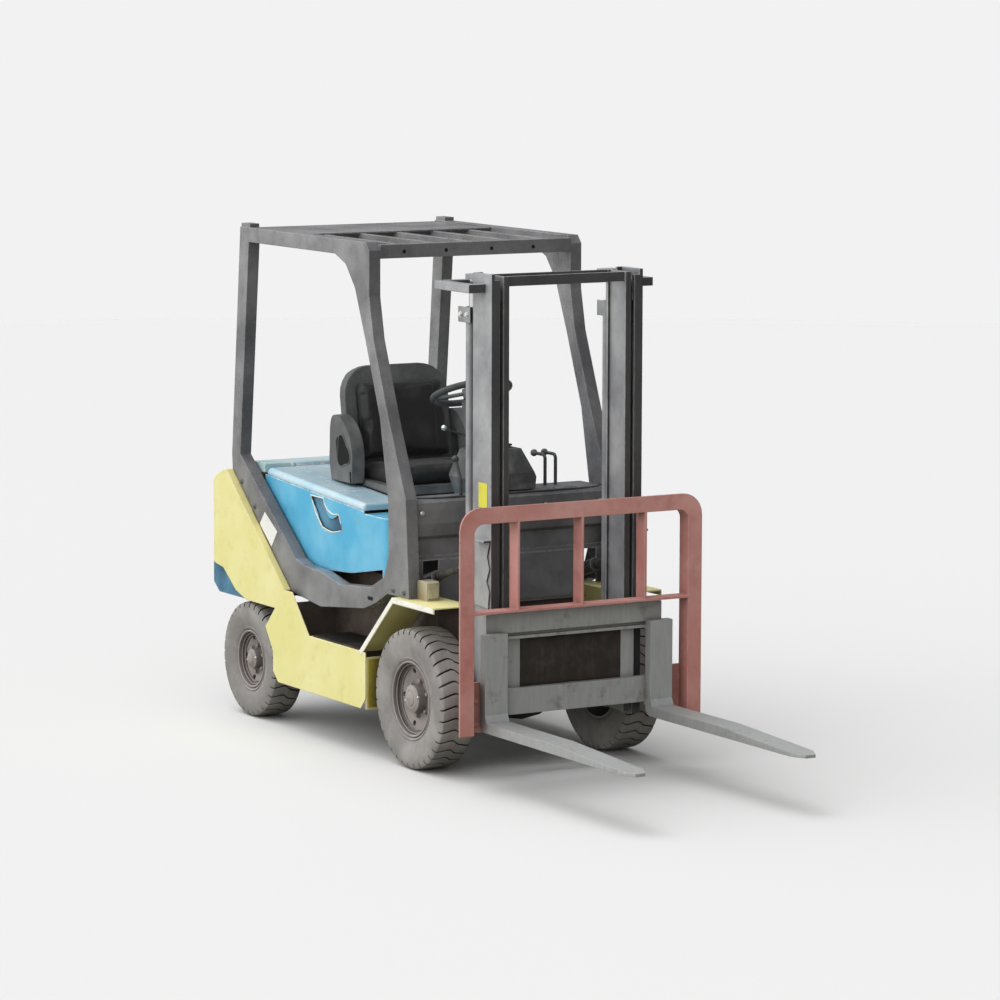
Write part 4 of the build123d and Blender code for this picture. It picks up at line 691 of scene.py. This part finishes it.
@dataclass
class Tyre:
    """Industrial pneumatic-shaped tyre with open lugs at both shoulders."""

    node: str
    body: str
    centre: tuple[float, float, float]
    radius: float
    width: float
    rim_radius: float
    pitches: int
    groove: float = 7.5
    depth: float = 14.0
    crease: float = 32.0
    lean: float = 0.42
    offset: float = 0.25

    def section(self) -> tuple[Array, Array, Array]:
        """Half section from bead to crown.

        Returns:
            Distance from the middle plane, radius, and depth of the grooves at each point.
        """
        half = self.width / 2
        rise = self.radius - self.rim_radius
        knots = np.array([
            (half - 20, self.rim_radius - 2, 0), (half - 12, self.rim_radius + 6, 0),
            (half - 9, self.rim_radius + 12, 0), (half - 12, self.rim_radius + 15, 0),
            (half - 8, self.rim_radius + rise * 0.22, 0), (half - 1.5, self.rim_radius + rise * 0.42, 0),
            (half, self.rim_radius + rise * 0.58, 0), (half - 0.5, self.rim_radius + rise * 0.74, 0),
            (half - 2.5, self.radius - 24, 0), (half - 3, self.radius - 20, 0.5),
            (half - 5, self.radius - 12, 0.9), (half - 10, self.radius - 5, 1.0),
            (half - 20, self.radius - 2, 1.0), (half - 34, self.radius - 0.8, 1.0),
            (half * 0.40, self.radius - 0.2, 0.95), (half * 0.24, self.radius, 0.75),
            (half * 0.10, self.radius, 0.45),
            (1.6, self.radius, 0.3), (0, self.radius + 1.2, 0.3),
        ])
        return knots[:, 0], knots[:, 1], knots[:, 2] * self.depth

    def build(self, material: bpy.types.Material) -> bpy.types.Object:
        """Make the tyre.

        The surface is round the axle: at step t within pitch k the angle is (k + t + slant) of a pitch,
        where slant leans the grooves back towards the shoulders and moves one side half a pitch. The
        radius is the section's, less the groove's depth where t is in the groove.

        Args:
            material: the rubber.

        Returns:
            The tyre's object.
        """
        across, radius, depth = self.section()
        across = np.concatenate([across, -across[-2::-1]])
        radius = np.concatenate([radius, radius[-2::-1]])
        depth = np.concatenate([depth, depth[-2::-1]])
        half = self.width / 2
        pitch = 2 * np.pi * self.radius / self.pitches
        floor = self.groove * 0.42 / pitch
        wall = self.groove * 0.52 / pitch
        step = np.array([-floor, floor, wall, wall + 0.02, 0.35, 0.5, 0.65, 0.98 - wall, 1 - wall])
        cut = np.array([1.0, 1.0, 0.03, 0.0, 0.0, 0.0, 0.0, 0.0, 0.03])
        turns = (np.arange(self.pitches)[:, None] + step[None, :]).ravel()
        cut = np.tile(cut, self.pitches)
        share = np.clip(across / half, -1, 1)
        slant = self.offset * np.clip(share * 6, -1, 1) + self.lean * np.abs(share) ** 1.5
        angle = (turns[:, None] + slant[None, :]) * 2 * np.pi / self.pitches
        r = radius[None, :] - depth[None, :] * cut[:, None]
        points = np.stack([np.broadcast_to(across, r.shape), r * np.cos(angle), r * np.sin(angle)], -1)
        shape = sheet_grid(points, wrap_rows=True, wrap_columns=True)
        shape = Shape(shape.points + np.array(self.centre), shape.quads)
        return add_piece(self.node + "_tread", shape, material, self.body, (self.node,),
                         self.crease)


@dataclass(frozen=True)
class Wheel:
    """One kind of wheel: where it is, its tyre and the fittings on its rim, with sizes in mm."""

    end: str
    x: float
    y: float
    radius: float
    width: float
    pitches: int
    rim: float
    hub: float
    reach: float
    bead: float
    inset: float = 1.2

    def centre(self, sign: int) -> tuple[float, float, float]:
        """The wheel's middle on one side of the truck."""
        return (sign * self.x, self.y, self.radius)

    def tyre(self, sign: int, side: str, finishes: Finishes) -> None:
        """Add the tyre, a little smaller than the CAD's."""
        Tyre(f"{self.end}_tyre_{side}", f"{self.end}_wheel_{side}", self.centre(sign),
             self.radius - self.inset, self.width, self.rim, self.pitches).build(finishes.tyre)

    def fittings(self, sign: int, side: str, finishes: Finishes) -> None:
        """Add the lock ring, the dish's rings, the hub cap, the nuts and the studs.

        The lock ring stands out by bead from the wheel's middle plane, and the cap by reach.

        Args:
            sign: side of the truck.
            side: that side's name.
            finishes: the finishes.
        """
        name, body = f"{self.end}_hub_{side}", f"{self.end}_wheel_{side}"
        place = (self.centre(sign), BACK, (sign, 0, 0))
        hub, reach = self.hub, self.reach
        angle = np.linspace(0, 2 * np.pi, 72, endpoint=False)
        round_axle = np.stack([np.cos(angle), np.sin(angle)], -1)

        def ring(thick: float, radius: float, height: float) -> Shape:
            """Wire ring round the axle."""
            path = np.column_stack([round_axle * radius, np.full(len(round_axle), height)])
            return carried(circle(thick, 8), path, closed=True)

        cap = turned([(0, reach + 4), (hub * 0.42, reach + 4), (hub * 0.5, reach + 1), (hub * 0.5, reach - 2),
                      (hub * 0.62, reach - 1), (hub * 0.62, reach - 8), (0, reach - 8)], 32)
        rings = ring(5, self.rim - 4, self.bead) + ring(3, self.rim - 14, self.bead - 12)
        rings = rings + ring(2.5, self.rim - 26, 37) + cap
        add_piece(name + "_rings", rings.placed(*place), finishes.rim, body)
        nuts = gather([
            hexagon_head(9, 14).placed((np.cos(a) * (hub + 11), np.sin(a) * (hub + 11), 23.5))
            for a in np.arange(6) * np.pi / 3 + 0.35
        ])
        add_piece(name + "_nuts", nuts.placed(*place), finishes.rim, body, crease=SHARP)
        studs = gather([
            turned([(0, 0), (5.5, 0), (5.5, 7), (3.5, 10), (0, 10.5)], 16).placed(
                (np.cos(a) * (hub - 9), np.sin(a) * (hub - 9), reach - 13.0))
            for a in (0.25, 0.25 + np.pi)
        ])
        add_piece(name + "_studs", studs.placed(*place), finishes.zinc, body)


@dataclass
class Wheels:
    """Four tyres with their rims' rings, nuts and studs."""

    kinds: tuple[Wheel, ...] = (
        Wheel("front", x=438.0, y=0.0, radius=288.0, width=163, pitches=36,
              rim=155, hub=62, reach=70, bead=65),
        Wheel("rear", x=448.0, y=1410.0, radius=250.0, width=149, pitches=32,
              rim=125, hub=48, reach=64, bead=58),
    )

    def build(self, finishes: Finishes) -> None:
        """Make the tyres, dress the rims and add the bolts."""
        dress(finishes.rim, "front_rim_left", "front_rim_right", "rear_rim_left", "rear_rim_right")
        for sign, side in SIDES:
            for wheel in self.kinds:
                wheel.tyre(sign, side, finishes)
            for wheel in self.kinds:
                wheel.fittings(sign, side, finishes)


@dataclass
class Cushion:
    """Padded seat part, blown up by a cloth simulation and then sewn."""

    name: str
    node: str
    size: tuple[float, float, float]
    place: tuple[float, float, float]
    lean: float
    crown: float
    channels: tuple[float, ...]
    narrow: float = 0.0
    round_top: float = 0.0
    voxel: float = 6.0
    cap: float = 14.0
    seam: float = 5.0
    hem: float = 0.90
    frames: int = 20
    quality: int = 5
    pressure: float = 4.0
    stiffness: float = 20.0
    bending: float = 1.2

    def blank(self) -> Shape:
        """The cushion before it is blown up: a soft box, drawn in towards one end and rounded there."""
        shape = soft_box(self.size, min(self.size) * 0.42, 8)
        p = shape.points.copy()
        along = (p[:, 1] / self.size[1] + 0.5).clip(0, 1)
        p[:, 0] *= 1 - self.narrow * along ** 3
        p[:, 1] -= self.round_top * np.abs(p[:, 0] / (self.size[0] / 2)) ** 3.5 * along
        return Shape(p, shape.quads)

    def build(self, finishes: Finishes) -> bpy.types.Object:
        """Make the cushion.

        Args:
            finishes: the finishes.

        Returns:
            The cushion's object.
        """
        flat = self.blank()
        piece = link_object(self.name, joined_mesh(self.name, flat.points * MM, flat.quads))
        self.remesh(piece)
        self.inflate(piece)
        self.sew(piece)
        x, y, z = self.place
        move = Matrix.Translation((x * MM, (y + FRONT_AXLE_Y) * MM, z * MM))
        piece.data.transform(move @ Matrix.Rotation(math.radians(self.lean), 4, "X"))
        for face in piece.data.polygons:
            face.use_smooth = True
        piece.data.materials.append(finishes.vinyl)
        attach(piece, Body.HOOD.value)
        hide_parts(self.node)
        LOG.info("%s: %d faces", self.name, len(piece.data.polygons))
        return piece

    @staticmethod
    def apply(piece: bpy.types.Object) -> None:
        """Put the result of a piece's modifiers into its mesh."""
        graph = bpy.context.evaluated_depsgraph_get()
        result = bpy.data.meshes.new_from_object(piece.evaluated_get(graph), depsgraph=graph)
        piece.modifiers.clear()
        old = piece.data
        piece.data = result
        bpy.data.meshes.remove(old)

    def remesh(self, piece: bpy.types.Object) -> None:
        """Cover the blank with even faces, fine enough for folds."""
        remesh = piece.modifiers.new("even", "REMESH")
        remesh.mode = "VOXEL"
        remesh.voxel_size = self.voxel * MM
        self.apply(piece)

    def inflate(self, piece: bpy.types.Object) -> None:
        """Blow the cover up as cloth under pressure, and hold each point within the cap of its start."""
        before = np.empty(len(piece.data.vertices) * 3)
        piece.data.vertices.foreach_get("co", before)
        cloth = piece.modifiers.new("cover", "CLOTH")
        cloth.settings.quality = self.quality
        cloth.settings.use_pressure = True
        cloth.settings.uniform_pressure_force = self.pressure
        cloth.settings.tension_stiffness = self.stiffness
        cloth.settings.compression_stiffness = self.stiffness
        cloth.settings.bending_stiffness = self.bending
        cloth.settings.effector_weights.gravity = 0.0
        cloth.point_cache.frame_start = 1
        cloth.point_cache.frame_end = self.frames
        for number in range(1, self.frames + 1):
            bpy.context.scene.frame_set(number)
        self.apply(piece)
        bpy.context.scene.frame_set(1)
        after = np.empty_like(before)
        piece.data.vertices.foreach_get("co", after)
        move = (after - before).reshape(-1, 3)
        length = np.linalg.norm(move, axis=1)[:, None]
        move *= np.minimum(1, self.cap * MM / np.maximum(length, 1e-9))
        piece.data.vertices.foreach_set("co", (before.reshape(-1, 3) + move).ravel())

    def sew(self, piece: bpy.types.Object) -> None:
        """Crown the top and draw in the sewn channels and the seam round the edge.

        Across a channel the depth is a bell curve of 6 mm. The edge seam is a shallower one of 5 mm, on
        the line where the greater of a point's two shares of the half size is at the hem.
        """
        count = len(piece.data.vertices)
        flat = np.empty(count * 3)
        piece.data.vertices.foreach_get("co", flat)
        p = flat.reshape(-1, 3) / MM
        half = np.array(self.size) / 2
        share_x = np.abs(p[:, 0] / half[0])
        share_y = np.abs(p[:, 1] / half[1])
        inside = np.clip(1 - share_x ** 4, 0, 1) * np.clip(1 - share_y ** 4, 0, 1)
        upper = np.clip(p[:, 2] / half[2], 0, 1)
        lift = self.crown * inside * upper
        for line in self.channels:
            lift -= self.seam * np.exp(-((p[:, 0] - line) / 6.0) ** 2) * upper * np.sqrt(inside)
        near = np.minimum(half[0] * (self.hem - share_x), half[1] * (self.hem - share_y))
        lift -= self.seam * 0.6 * np.exp(-(near / 5.0) ** 2) * upper
        p[:, 2] += lift
        piece.data.vertices.foreach_set("co", (p * MM).ravel())
        finish = piece.modifiers.new("smooth", "SUBSURF")
        finish.levels = 1
        finish.render_levels = 1


def star(outer: float, inner: float, tips: int, stretch: float) -> list[tuple[float, float]]:
    """Outline of a rounded star, stretched along its second axis."""
    angle = np.arange(tips * 8) * 2 * np.pi / (tips * 8)
    radius = (outer + inner) / 2 + (outer - inner) / 2 * np.cos(tips * angle)
    return [(float(r * np.sin(a)), float(r * np.cos(a) * stretch)) for r, a in zip(radius, angle)][::-1]


@dataclass
class Seat:
    """Driver's seat: two cushions, the moulded shell and the hip restraints."""

    bolster_out: float = 310.0

    def build(self, finishes: Finishes) -> None:
        """Make the cushions and shells, dress what stays and add the hip restraints' recesses and slots,
        filled near black as painted shade.
        """
        Cushion("seat_squab", "seat_cushion", (450, 340, 54), (0, 787, 1098), -2.0, 5.0,
                (-128.0, 128.0)).build(finishes)
        Cushion("seat_backrest", "seat_back", (436, 404, 50), (0, 990, 1334), 79.2, 7.0, (-132.0, 132.0),
                narrow=0.03, round_top=100.0).build(finishes)
        dress(finishes.shell, "seat_shell", "seat_bolsters")
        recess_shades, rims, slot_shades = [], [], []
        for sign, _ in SIDES:
            place = {"origin": (sign * (self.bolster_out + 0.3), 938, 1182), "x_axis": (0, -0.96, 0.28),
                     "z_axis": (sign, 0, 0)}
            outline = star(62, 42, 3, 1.25)
            recess_shades.append(slab(outline, 1.2, 0.5).placed(**place))
            path = np.column_stack([np.array(outline), np.zeros(len(outline))])
            rims.append(carried(circle(3.2, 8), path, closed=True).placed(**place))
            slot_shades.append(slab([(-6, -24), (6, -24), (6, 24), (-6, 24)], 1.0, 0.4).placed(
                (sign * (self.bolster_out + 0.3), 872, 1082), (0, -1, 0.1), (sign, 0, 0)))
        # painted shade: the recesses and slots filled near black
        add_piece("restraint_recess_shade", gather(recess_shades + slot_shades), finishes.void, Body.HOOD)
        add_piece("restraint_rims", gather(rims), finishes.shell, Body.HOOD)


@dataclass
class Mast:
    """Two stage mast: clamps, notch plates, bolts and blank labels on the CAD rails."""

    front: float = -374.0
    clamp_z: float = 1848.0
    clamp_y: float = -163.0

    def build(self, finishes: Finishes) -> None:
        """Dress the rails and add the small parts."""
        dress(finishes.grey, "mast_outer", "mast_inner", "lift_cylinders")
        dress(finishes.dark, "tilt_barrels")
        dress(finishes.dull_rod, "tilt_rods")
        dress(finishes.chrome, "lift_rods")
        clamps, bolts, plates, pins, welds = [], [], [], [], []
        for sign, _ in SIDES:
            for x in (351.5, 296.5):
                clamps.append(soft_box((7, 96, 62), 2).placed((sign * x, self.clamp_y, self.clamp_z)))
            for y in (-187, -139):
                bolts.append(hexagon_head(10, 9).placed((sign * 355, y, self.clamp_z), BACK, (sign, 0, 0)))
            outline = [(-14, -52), (10, -46), (17, -20), (6, 4), (17, 26), (12, 50), (-14, 52)]
            if sign < 0:
                outline = [(-x, z) for x, z in outline][::-1]
            plate = slab(outline, 3.0, 0.8)
            plates.append(plate.placed((sign * 320, self.front + 12, 1944), z_axis=FORWARD))
            for z in (1984, 1908):
                pins.append(turned([(0, 0), (8, 0), (8, 6), (6, 8.5), (0, 8.5)], 18).placed(
                    (sign * 321, self.front + 9, z), z_axis=FORWARD))
            for z in (958, 700):
                path = np.column_stack([np.full(12, sign * 352.0), np.linspace(-366, -232, 12),
                                        np.full(12, z)])
                path[:, 2] += 1.2 * np.sin(np.arange(12) * 2.1)
                welds.append(carried(circle(3.4, 8), path))
        add_piece("cylinder_clamps", gather(clamps), finishes.grey, Body.MAST_OUTER)
        add_piece("clamp_bolts", gather(bolts), finishes.zinc, Body.MAST_OUTER, crease=SHARP)
        add_piece("notch_plates", gather(plates), finishes.dark, Body.MAST_OUTER)
        add_piece("roller_adjusters", gather(pins), finishes.zinc, Body.MAST_OUTER)
        add_piece("mast_weld_beads", gather(welds), finishes.grey, Body.MAST_OUTER)
        decal = slab([(-34, -50), (34, -50), (34, 50), (-34, 50)], 1.0, 0.3)
        add_piece("blank_mast_label", decal.placed((-350.1, -309, 1140), (0, -1, 0), (-1, 0, 0)),
                  finishes.label_yellow, Body.MAST_OUTER)
        small = slab([(-18, -28), (18, -28), (18, 28), (-18, 28)], 1.0, 0.3)
        add_piece("blank_plate", small.placed((-357.2, -241, 736), (0, -1, 0), (-1, 0, 0)),
                  finishes.label_white, Body.MAST_OUTER)


@dataclass
class Carriage:
    """Fork carriage and load backrest: bolts and the dirty panel."""

    bar_front: float = -438.5

    def build(self, finishes: Finishes) -> None:
        """Dress the bars, forks and backrest and add the panel's face and the bolts."""
        dress(finishes.steel, "carriage", "fork_left", "fork_right")
        dress(finishes.oxide, "backrest")
        panel = soft_box((470, 4, 196), 1.5)
        add_piece("carriage_panel_face", panel.placed((0, self.bar_front + 37, 476)), finishes.dirty_steel,
                  Body.CARRIAGE)
        bolts = []
        for sign, _ in SIDES:
            for z in (250, 340):
                bolts.append(hexagon_head(10, 9).placed((sign * 455, -433, z), z_axis=FORWARD))
        add_piece("backrest_bolts", gather(bolts), finishes.oxide, Body.CARRIAGE, crease=SHARP)


@dataclass
class Guard:
    """Overhead guard: bolt holes and slots filled near black as painted shade, bolts and the blank label on
    the CAD guard.
    """

    header_front: float = 353.0
    side: float = 503.0

    def build(self, finishes: Finishes) -> None:
        """Dress the guard and add its holes and slots, filled near black as painted shade, its label and its
        bolts.
        """
        dress(finishes.guard, "overhead_guard", "guard_roof")
        hole_shades = gather([
            turned([(0, -1), (8, -1), (8, 0.4), (6.5, 0.8), (0, 0.8)], 18).placed(
                (x, self.header_front, 2066), z_axis=FORWARD)
            for x in (-340, -144, 71, 270)
        ])
        slot_shade = slab([(-22, -7), (22, -7), (22, 7), (-22, 7)], 0.8, 0.3)
        slot_shades = gather([slot_shade.placed((sign * (self.side + 0.1), 345, 653), (0, -sign, 0), (sign, 0, 0))
                        for sign, _ in SIDES])
        # painted shade: holes and slots filled near black
        add_piece("header_hole_shade", hole_shades + slot_shades, finishes.void, Body.CHASSIS)
        corners = np.array([(1284, 903), (1168, 830), (1222, 759), (1333, 845)], float)
        middle = corners.mean(0)
        label = slab([(-(y - middle[0]), z - middle[1]) for y, z in corners], 1.0, 0.3)
        add_piece("blank_guard_label", label.placed((-self.side - 0.1, *middle), (0, -1, 0), (-1, 0, 0)),
                  finishes.label_white, Body.CHASSIS)
        bolts = gather([
            hexagon_head(9, 7).placed((sign * self.side, y, z), BACK, (sign, 0, 0))
            for sign, _ in SIDES for y, z in ((60, 712), (150, 712), (1380, 915), (1500, 1010))
        ])
        add_piece("guard_bolts", bolts, finishes.dark, Body.CHASSIS, crease=SHARP)


@dataclass
class Bodywork:
    """Painted panels, cowl, counterweight and frame, with their lips (white as painted highlights), mats,
    lamps and small parts.
    """

    edge: float = 535.0
    cover: float = 440.0
    step: float = 432.0

    def build(self, finishes: Finishes) -> None:
        """Dress the panels and add the details."""
        dress(finishes.yellow, "side_panel_left", "side_panel_right", "counterweight")
        dress(finishes.frame, "main_frame", "floor_plate")
        dress(finishes.blue, "engine_cover")
        dress(finishes.bleached, "hood")
        dress(finishes.navy, "rear_casting")
        dress(finishes.pale_blue, "rear_cover")
        dress(finishes.iron, "drive_axle", "steer_axle", "knuckle_left", "knuckle_right", "engine_block")
        dress(finishes.cowl, "front_cowl")
        dress(finishes.plastic, "dashboard", "steering_wheel", "driver_controls")
        dress(finishes.chrome, "tow_pin")
        dress(finishes.lamp, "lamps")
        self.mats(finishes)
        self.panels(finishes)
        self.cowl(finishes)
        self.rear(finishes)

    def mats(self, finishes: Finishes) -> None:
        """Lay the rubber mats on the toe board and the steps, and a black rubber sheet on the cover's front
        wall as painted shade.
        """
        toe = soft_box((690, 210, 5), 2).placed((0, 178, 645))
        # painted shade: a black rubber sheet over the cover's front wall
        front = soft_box((810, 4, 330), 1.5).placed((0, 297.4, 812))
        ribs = gather([soft_box((640, 5, 4), 1.6).placed((0, y, 649)) for y in range(92, 272, 18)])
        add_piece("toe_mat_and_wall_shade", toe + front + ribs, finishes.rubber, Body.CHASSIS)
        steps, ribs = [], []
        for sign, _ in SIDES:
            steps.append(soft_box((188, 400, 4), 1.6).placed((sign * 432, 606, self.step + 2.2)))
            ribs += [soft_box((170, 6, 5), 2).placed((sign * 432, y, self.step + 5))
                     for y in range(424, 800, 22)]
        add_piece("step_mats", gather(steps + ribs), finishes.rubber, Body.CHASSIS)

    def panels(self, finishes: Finishes) -> None:
        """Add the dark inner fenders, the lips' white painted highlights, the undershields, the scoops' backs
        and the seat base gap as painted shade.
        """
        inner, lip_highlights, back_shades, brim_highlights, shields = [], [], [], [], []
        for sign, _ in SIDES:
            inner.append(soft_box((168, 3, 200), 1.2).placed((sign * 440, 328, 304)))
            inner.append(soft_box((168, 330, 3), 1.2).placed((sign * 440, -66, 688)))
            rail = [(sign * (self.edge + 0.4), y, z) for y, z in (
                (-238, 678), (96, 678), (100.4, 677), (103.5, 674.8), (376, 423))]
            # painted highlight: a white strip along each fender's rolled edge
            lip_highlights.append(carried([(-0.6, -11), (0.6, -11), (0.6, 11), (-0.6, 11)], rail))
            # painted shade: a dark blue sheet at the back of each scoop
            back_shades.append(soft_box((3, 320, 170), 1.2).placed((sign * 431, 848, 938)))
            shields.append(soft_box((3, 600, 106), 1.2).placed((sign * 333, 800, 662)))
            shields.append(soft_box((3, 320, 122), 1.2).placed((sign * 333, 1243, 586)))
            outline = [(985, 1004), (962, 975), (935, 930), (880, 882), (835, 872), (790, 869), (745, 876),
                       (702, 886), (718, 918), (735, 950), (790, 944), (835, 958), (860, 980), (870, 1002)]
            path = np.array([(sign * (self.cover + 0.2), y, z) for y, z in outline])
            # painted highlight: a white ring round each scoop's edge
            brim_highlights.append(carried(circle(2.8, 8), path, closed=True))
        add_piece("inner_fenders", gather(inner), finishes.arch, Body.CHASSIS)
        add_piece("fender_lip_highlights", gather(lip_highlights), finishes.lip, Body.CHASSIS)
        add_piece("undershields", gather(shields), finishes.frame, Body.CHASSIS)
        add_piece("scoop_back_shade", gather(back_shades), finishes.navy, Body.CHASSIS)
        add_piece("scoop_edge_highlights", gather(brim_highlights), finishes.lip, Body.CHASSIS)
        base = soft_box((512, 424, 7), 3).placed((0, 808, 1040), (1, 0, 0), (0, -0.069, 1))
        # painted shade: a near black slab in the gap under the seat
        add_piece("seat_base_gap_shade", base, finishes.void, Body.HOOD)

    def cowl(self, finishes: Finishes) -> None:
        """Add the cowl's trims and bolts, the direction lever, the gauge and the lamps' lenses."""
        edge = carried(circle(3.6, 10), smooth_path([(-444, 126, 1091), (-444, 80, 1087), (-300, 76, 1087),
                                                     (0, 76, 1087), (300, 76, 1087), (444, 80, 1087),
                                                     (444, 126, 1091)], 6))
        add_piece("cowl_edge_trim", edge, finishes.plastic, Body.CHASSIS)
        bolts = gather([hexagon_head(8, 6).placed((x, 58.5, 1030), z_axis=FORWARD)
                        for x in (-420, -160, 160, 420)])
        add_piece("cowl_bolts", bolts, finishes.zinc, Body.CHASSIS, crease=SHARP)
        bend = smooth_path([(-52, 296, 1300), (-110, 300, 1312), (-176, 305, 1338)], 8)
        stalk = carried(circle(4.5, 10), bend)
        add_piece("direction_lever", stalk, finishes.plastic, Body.CHASSIS)
        ball = turned([(0, -12), (7, -10), (11, -4.5), (12, 0), (11, 4.5), (7, 10), (0, 12)], 24)
        add_piece("lever_balls", ball.placed((-180, 305, 1341)), finishes.zinc, Body.CHASSIS)
        gauge = turned([(0, 0), (34, 0), (36, 3), (34, 6), (30, 5), (0, 4)], 32).placed((60, 232, 1262.5))
        add_piece("hour_gauge", gauge, finishes.void, Body.CHASSIS)
        lenses = gather([soft_box((50, 4, 62), 1.8).placed((sign * 436, -61, 731)) for sign, _ in SIDES])
        add_piece("lamp_lenses", lenses, finishes.lens, Body.CHASSIS)

    def rear(self, finishes: Finishes) -> None:
        """Add the counterweight's bolts and the tow pin's ring."""
        bolts = gather([hexagon_head(13, 11).placed((x, 1744, 610), z_axis=BACK) for x in (-200, 200)])
        add_piece("rear_bolts", bolts, finishes.dark, Body.CHASSIS, crease=SHARP)
        ring = np.linspace(0, 2 * np.pi, 40, endpoint=False)
        loop = np.column_stack([18 * np.cos(ring), np.full(40, 1705.0), 633 + 18 * np.sin(ring)])
        add_piece("tow_pin_ring", carried(circle(2.6, 8), loop, up=BACK, closed=True), finishes.zinc,
                  Body.CHASSIS)


@dataclass
class Studio:
    """Pale floor, soft sun and sky, and the camera of the photograph."""

    lens: float = 157.24
    eye: tuple[float, float, float] = (-8.94968, -15.30879, 3.31659)
    right: tuple[float, float, float] = (0.86384, -0.50376, 0.00286)
    up: tuple[float, float, float] = (0.061402, 0.110923, 0.99193)
    forward: tuple[float, float, float] = (0.50001, 0.85669, -0.12675)
    floor_reach: float = 21.0
    floor_colour: str = "#D3D3D3"
    floor_bounce: str = "#8C8B80"
    sun_from: tuple[float, float, float] = (-0.10, 0.42, 1.0)
    sun_strength: float = 1.0
    sun_angle: float = 38.0
    sky_from: tuple[float, float, float] = (-0.84, 0.12, 0.53)
    sky_low: float = 0.20
    sky_high: float = 1.9
    backdrop: float = 0.888

    def build(self) -> None:
        """Make the camera, the floor, the sun and the world."""
        camera_data = bpy.data.cameras.new("camera")
        camera_data.lens = self.lens
        camera_data.sensor_width = 36.0
        camera_data.clip_end = 200.0
        camera = link_object("camera", camera_data)
        turn = np.array([self.right, self.up, [-v for v in self.forward]]).T
        matrix = Matrix(turn.tolist()).to_4x4()
        matrix.translation = self.eye
        camera.matrix_world = matrix
        bpy.context.scene.camera = camera
        self.floor()
        sun_data = bpy.data.lights.new("sun", "SUN")
        sun_data.energy = self.sun_strength
        sun_data.angle = math.radians(self.sun_angle)
        sun = link_object("sun", sun_data)
        sun.rotation_euler = Vector(self.sun_from).to_track_quat("Z", "Y").to_euler()
        self.world()
        bpy.context.scene.view_settings.view_transform = "Standard"

    def floor(self) -> None:
        """Lay a round pale floor that throws back less light than it shows the camera."""
        angle = np.arange(96) * 2 * np.pi / 96
        rings = np.stack([np.column_stack([r * np.cos(angle), r * np.sin(angle), np.zeros(96)])
                          for r in (0.0, self.floor_reach * 0.3, self.floor_reach)])
        shape = sheet_grid(rings, wrap_columns=True)
        mesh = joined_mesh("floor", shape.points, shape.quads)
        if mesh.polygons[0].normal.z < 0:
            mesh.flip_normals()
        floor = link_object("floor", mesh)
        material, tree = new_material("matt_white_board")
        path = put(tree, "LightPath")
        ends = {6: linear(self.floor_bounce), 7: linear(self.floor_colour)}
        colour = put(tree, "Mix", {"data_type": "RGBA", **ends}, {0: path.outputs["Is Camera Ray"]})
        close_material(tree, {"Roughness": 0.9, "Specular IOR Level": 0.1}, {"Base Color": colour.outputs[2]})
        mesh.materials.append(material)

    def world(self) -> None:
        """Light the truck from a sky that is brightest on its near side, over a pale backdrop."""
        world = bpy.data.worlds.new("studio")
        bpy.context.scene.world = world
        world.use_nodes = True
        tree = world.node_tree
        tree.nodes.clear()
        seen = put(tree, "LightPath").outputs["Is Camera Ray"]
        way = put(tree, "TexCoord").outputs["Generated"]
        facing = put(tree, "VectorMath", {"operation": "DOT_PRODUCT", 1: self.sky_from}, {0: way})
        glow = put(tree, "MapRange", {"interpolation_type": "SMOOTHSTEP", "From Min": -0.25, "From Max": 1.0,
                                      "To Min": self.sky_low, "To Max": self.sky_high},
                   {"Value": facing.outputs["Value"]})
        strength = put(tree, "Mix", {"data_type": "FLOAT", 3: self.backdrop}, {0: seen, 2: glow.outputs[0]})
        light = put(tree, "Background", {"Color": (1.0, 1.0, 1.0, 1.0)}, {"Strength": strength.outputs[0]})
        put(tree, "OutputWorld", links={"Surface": light.outputs[0]})


def main() -> None:
    """Build the looks round the frame."""
    logging.basicConfig(level=logging.INFO, format="%(message)s")
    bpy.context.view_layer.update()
    Studio().build()
    finishes = Finishes()
    for assembly in (Bodywork(), Guard(), Mast(), Carriage(), Wheels(), Seat()):
        assembly.build(finishes)
        LOG.info("built %s", type(assembly).__name__)


if __name__ == "__main__":
    main()
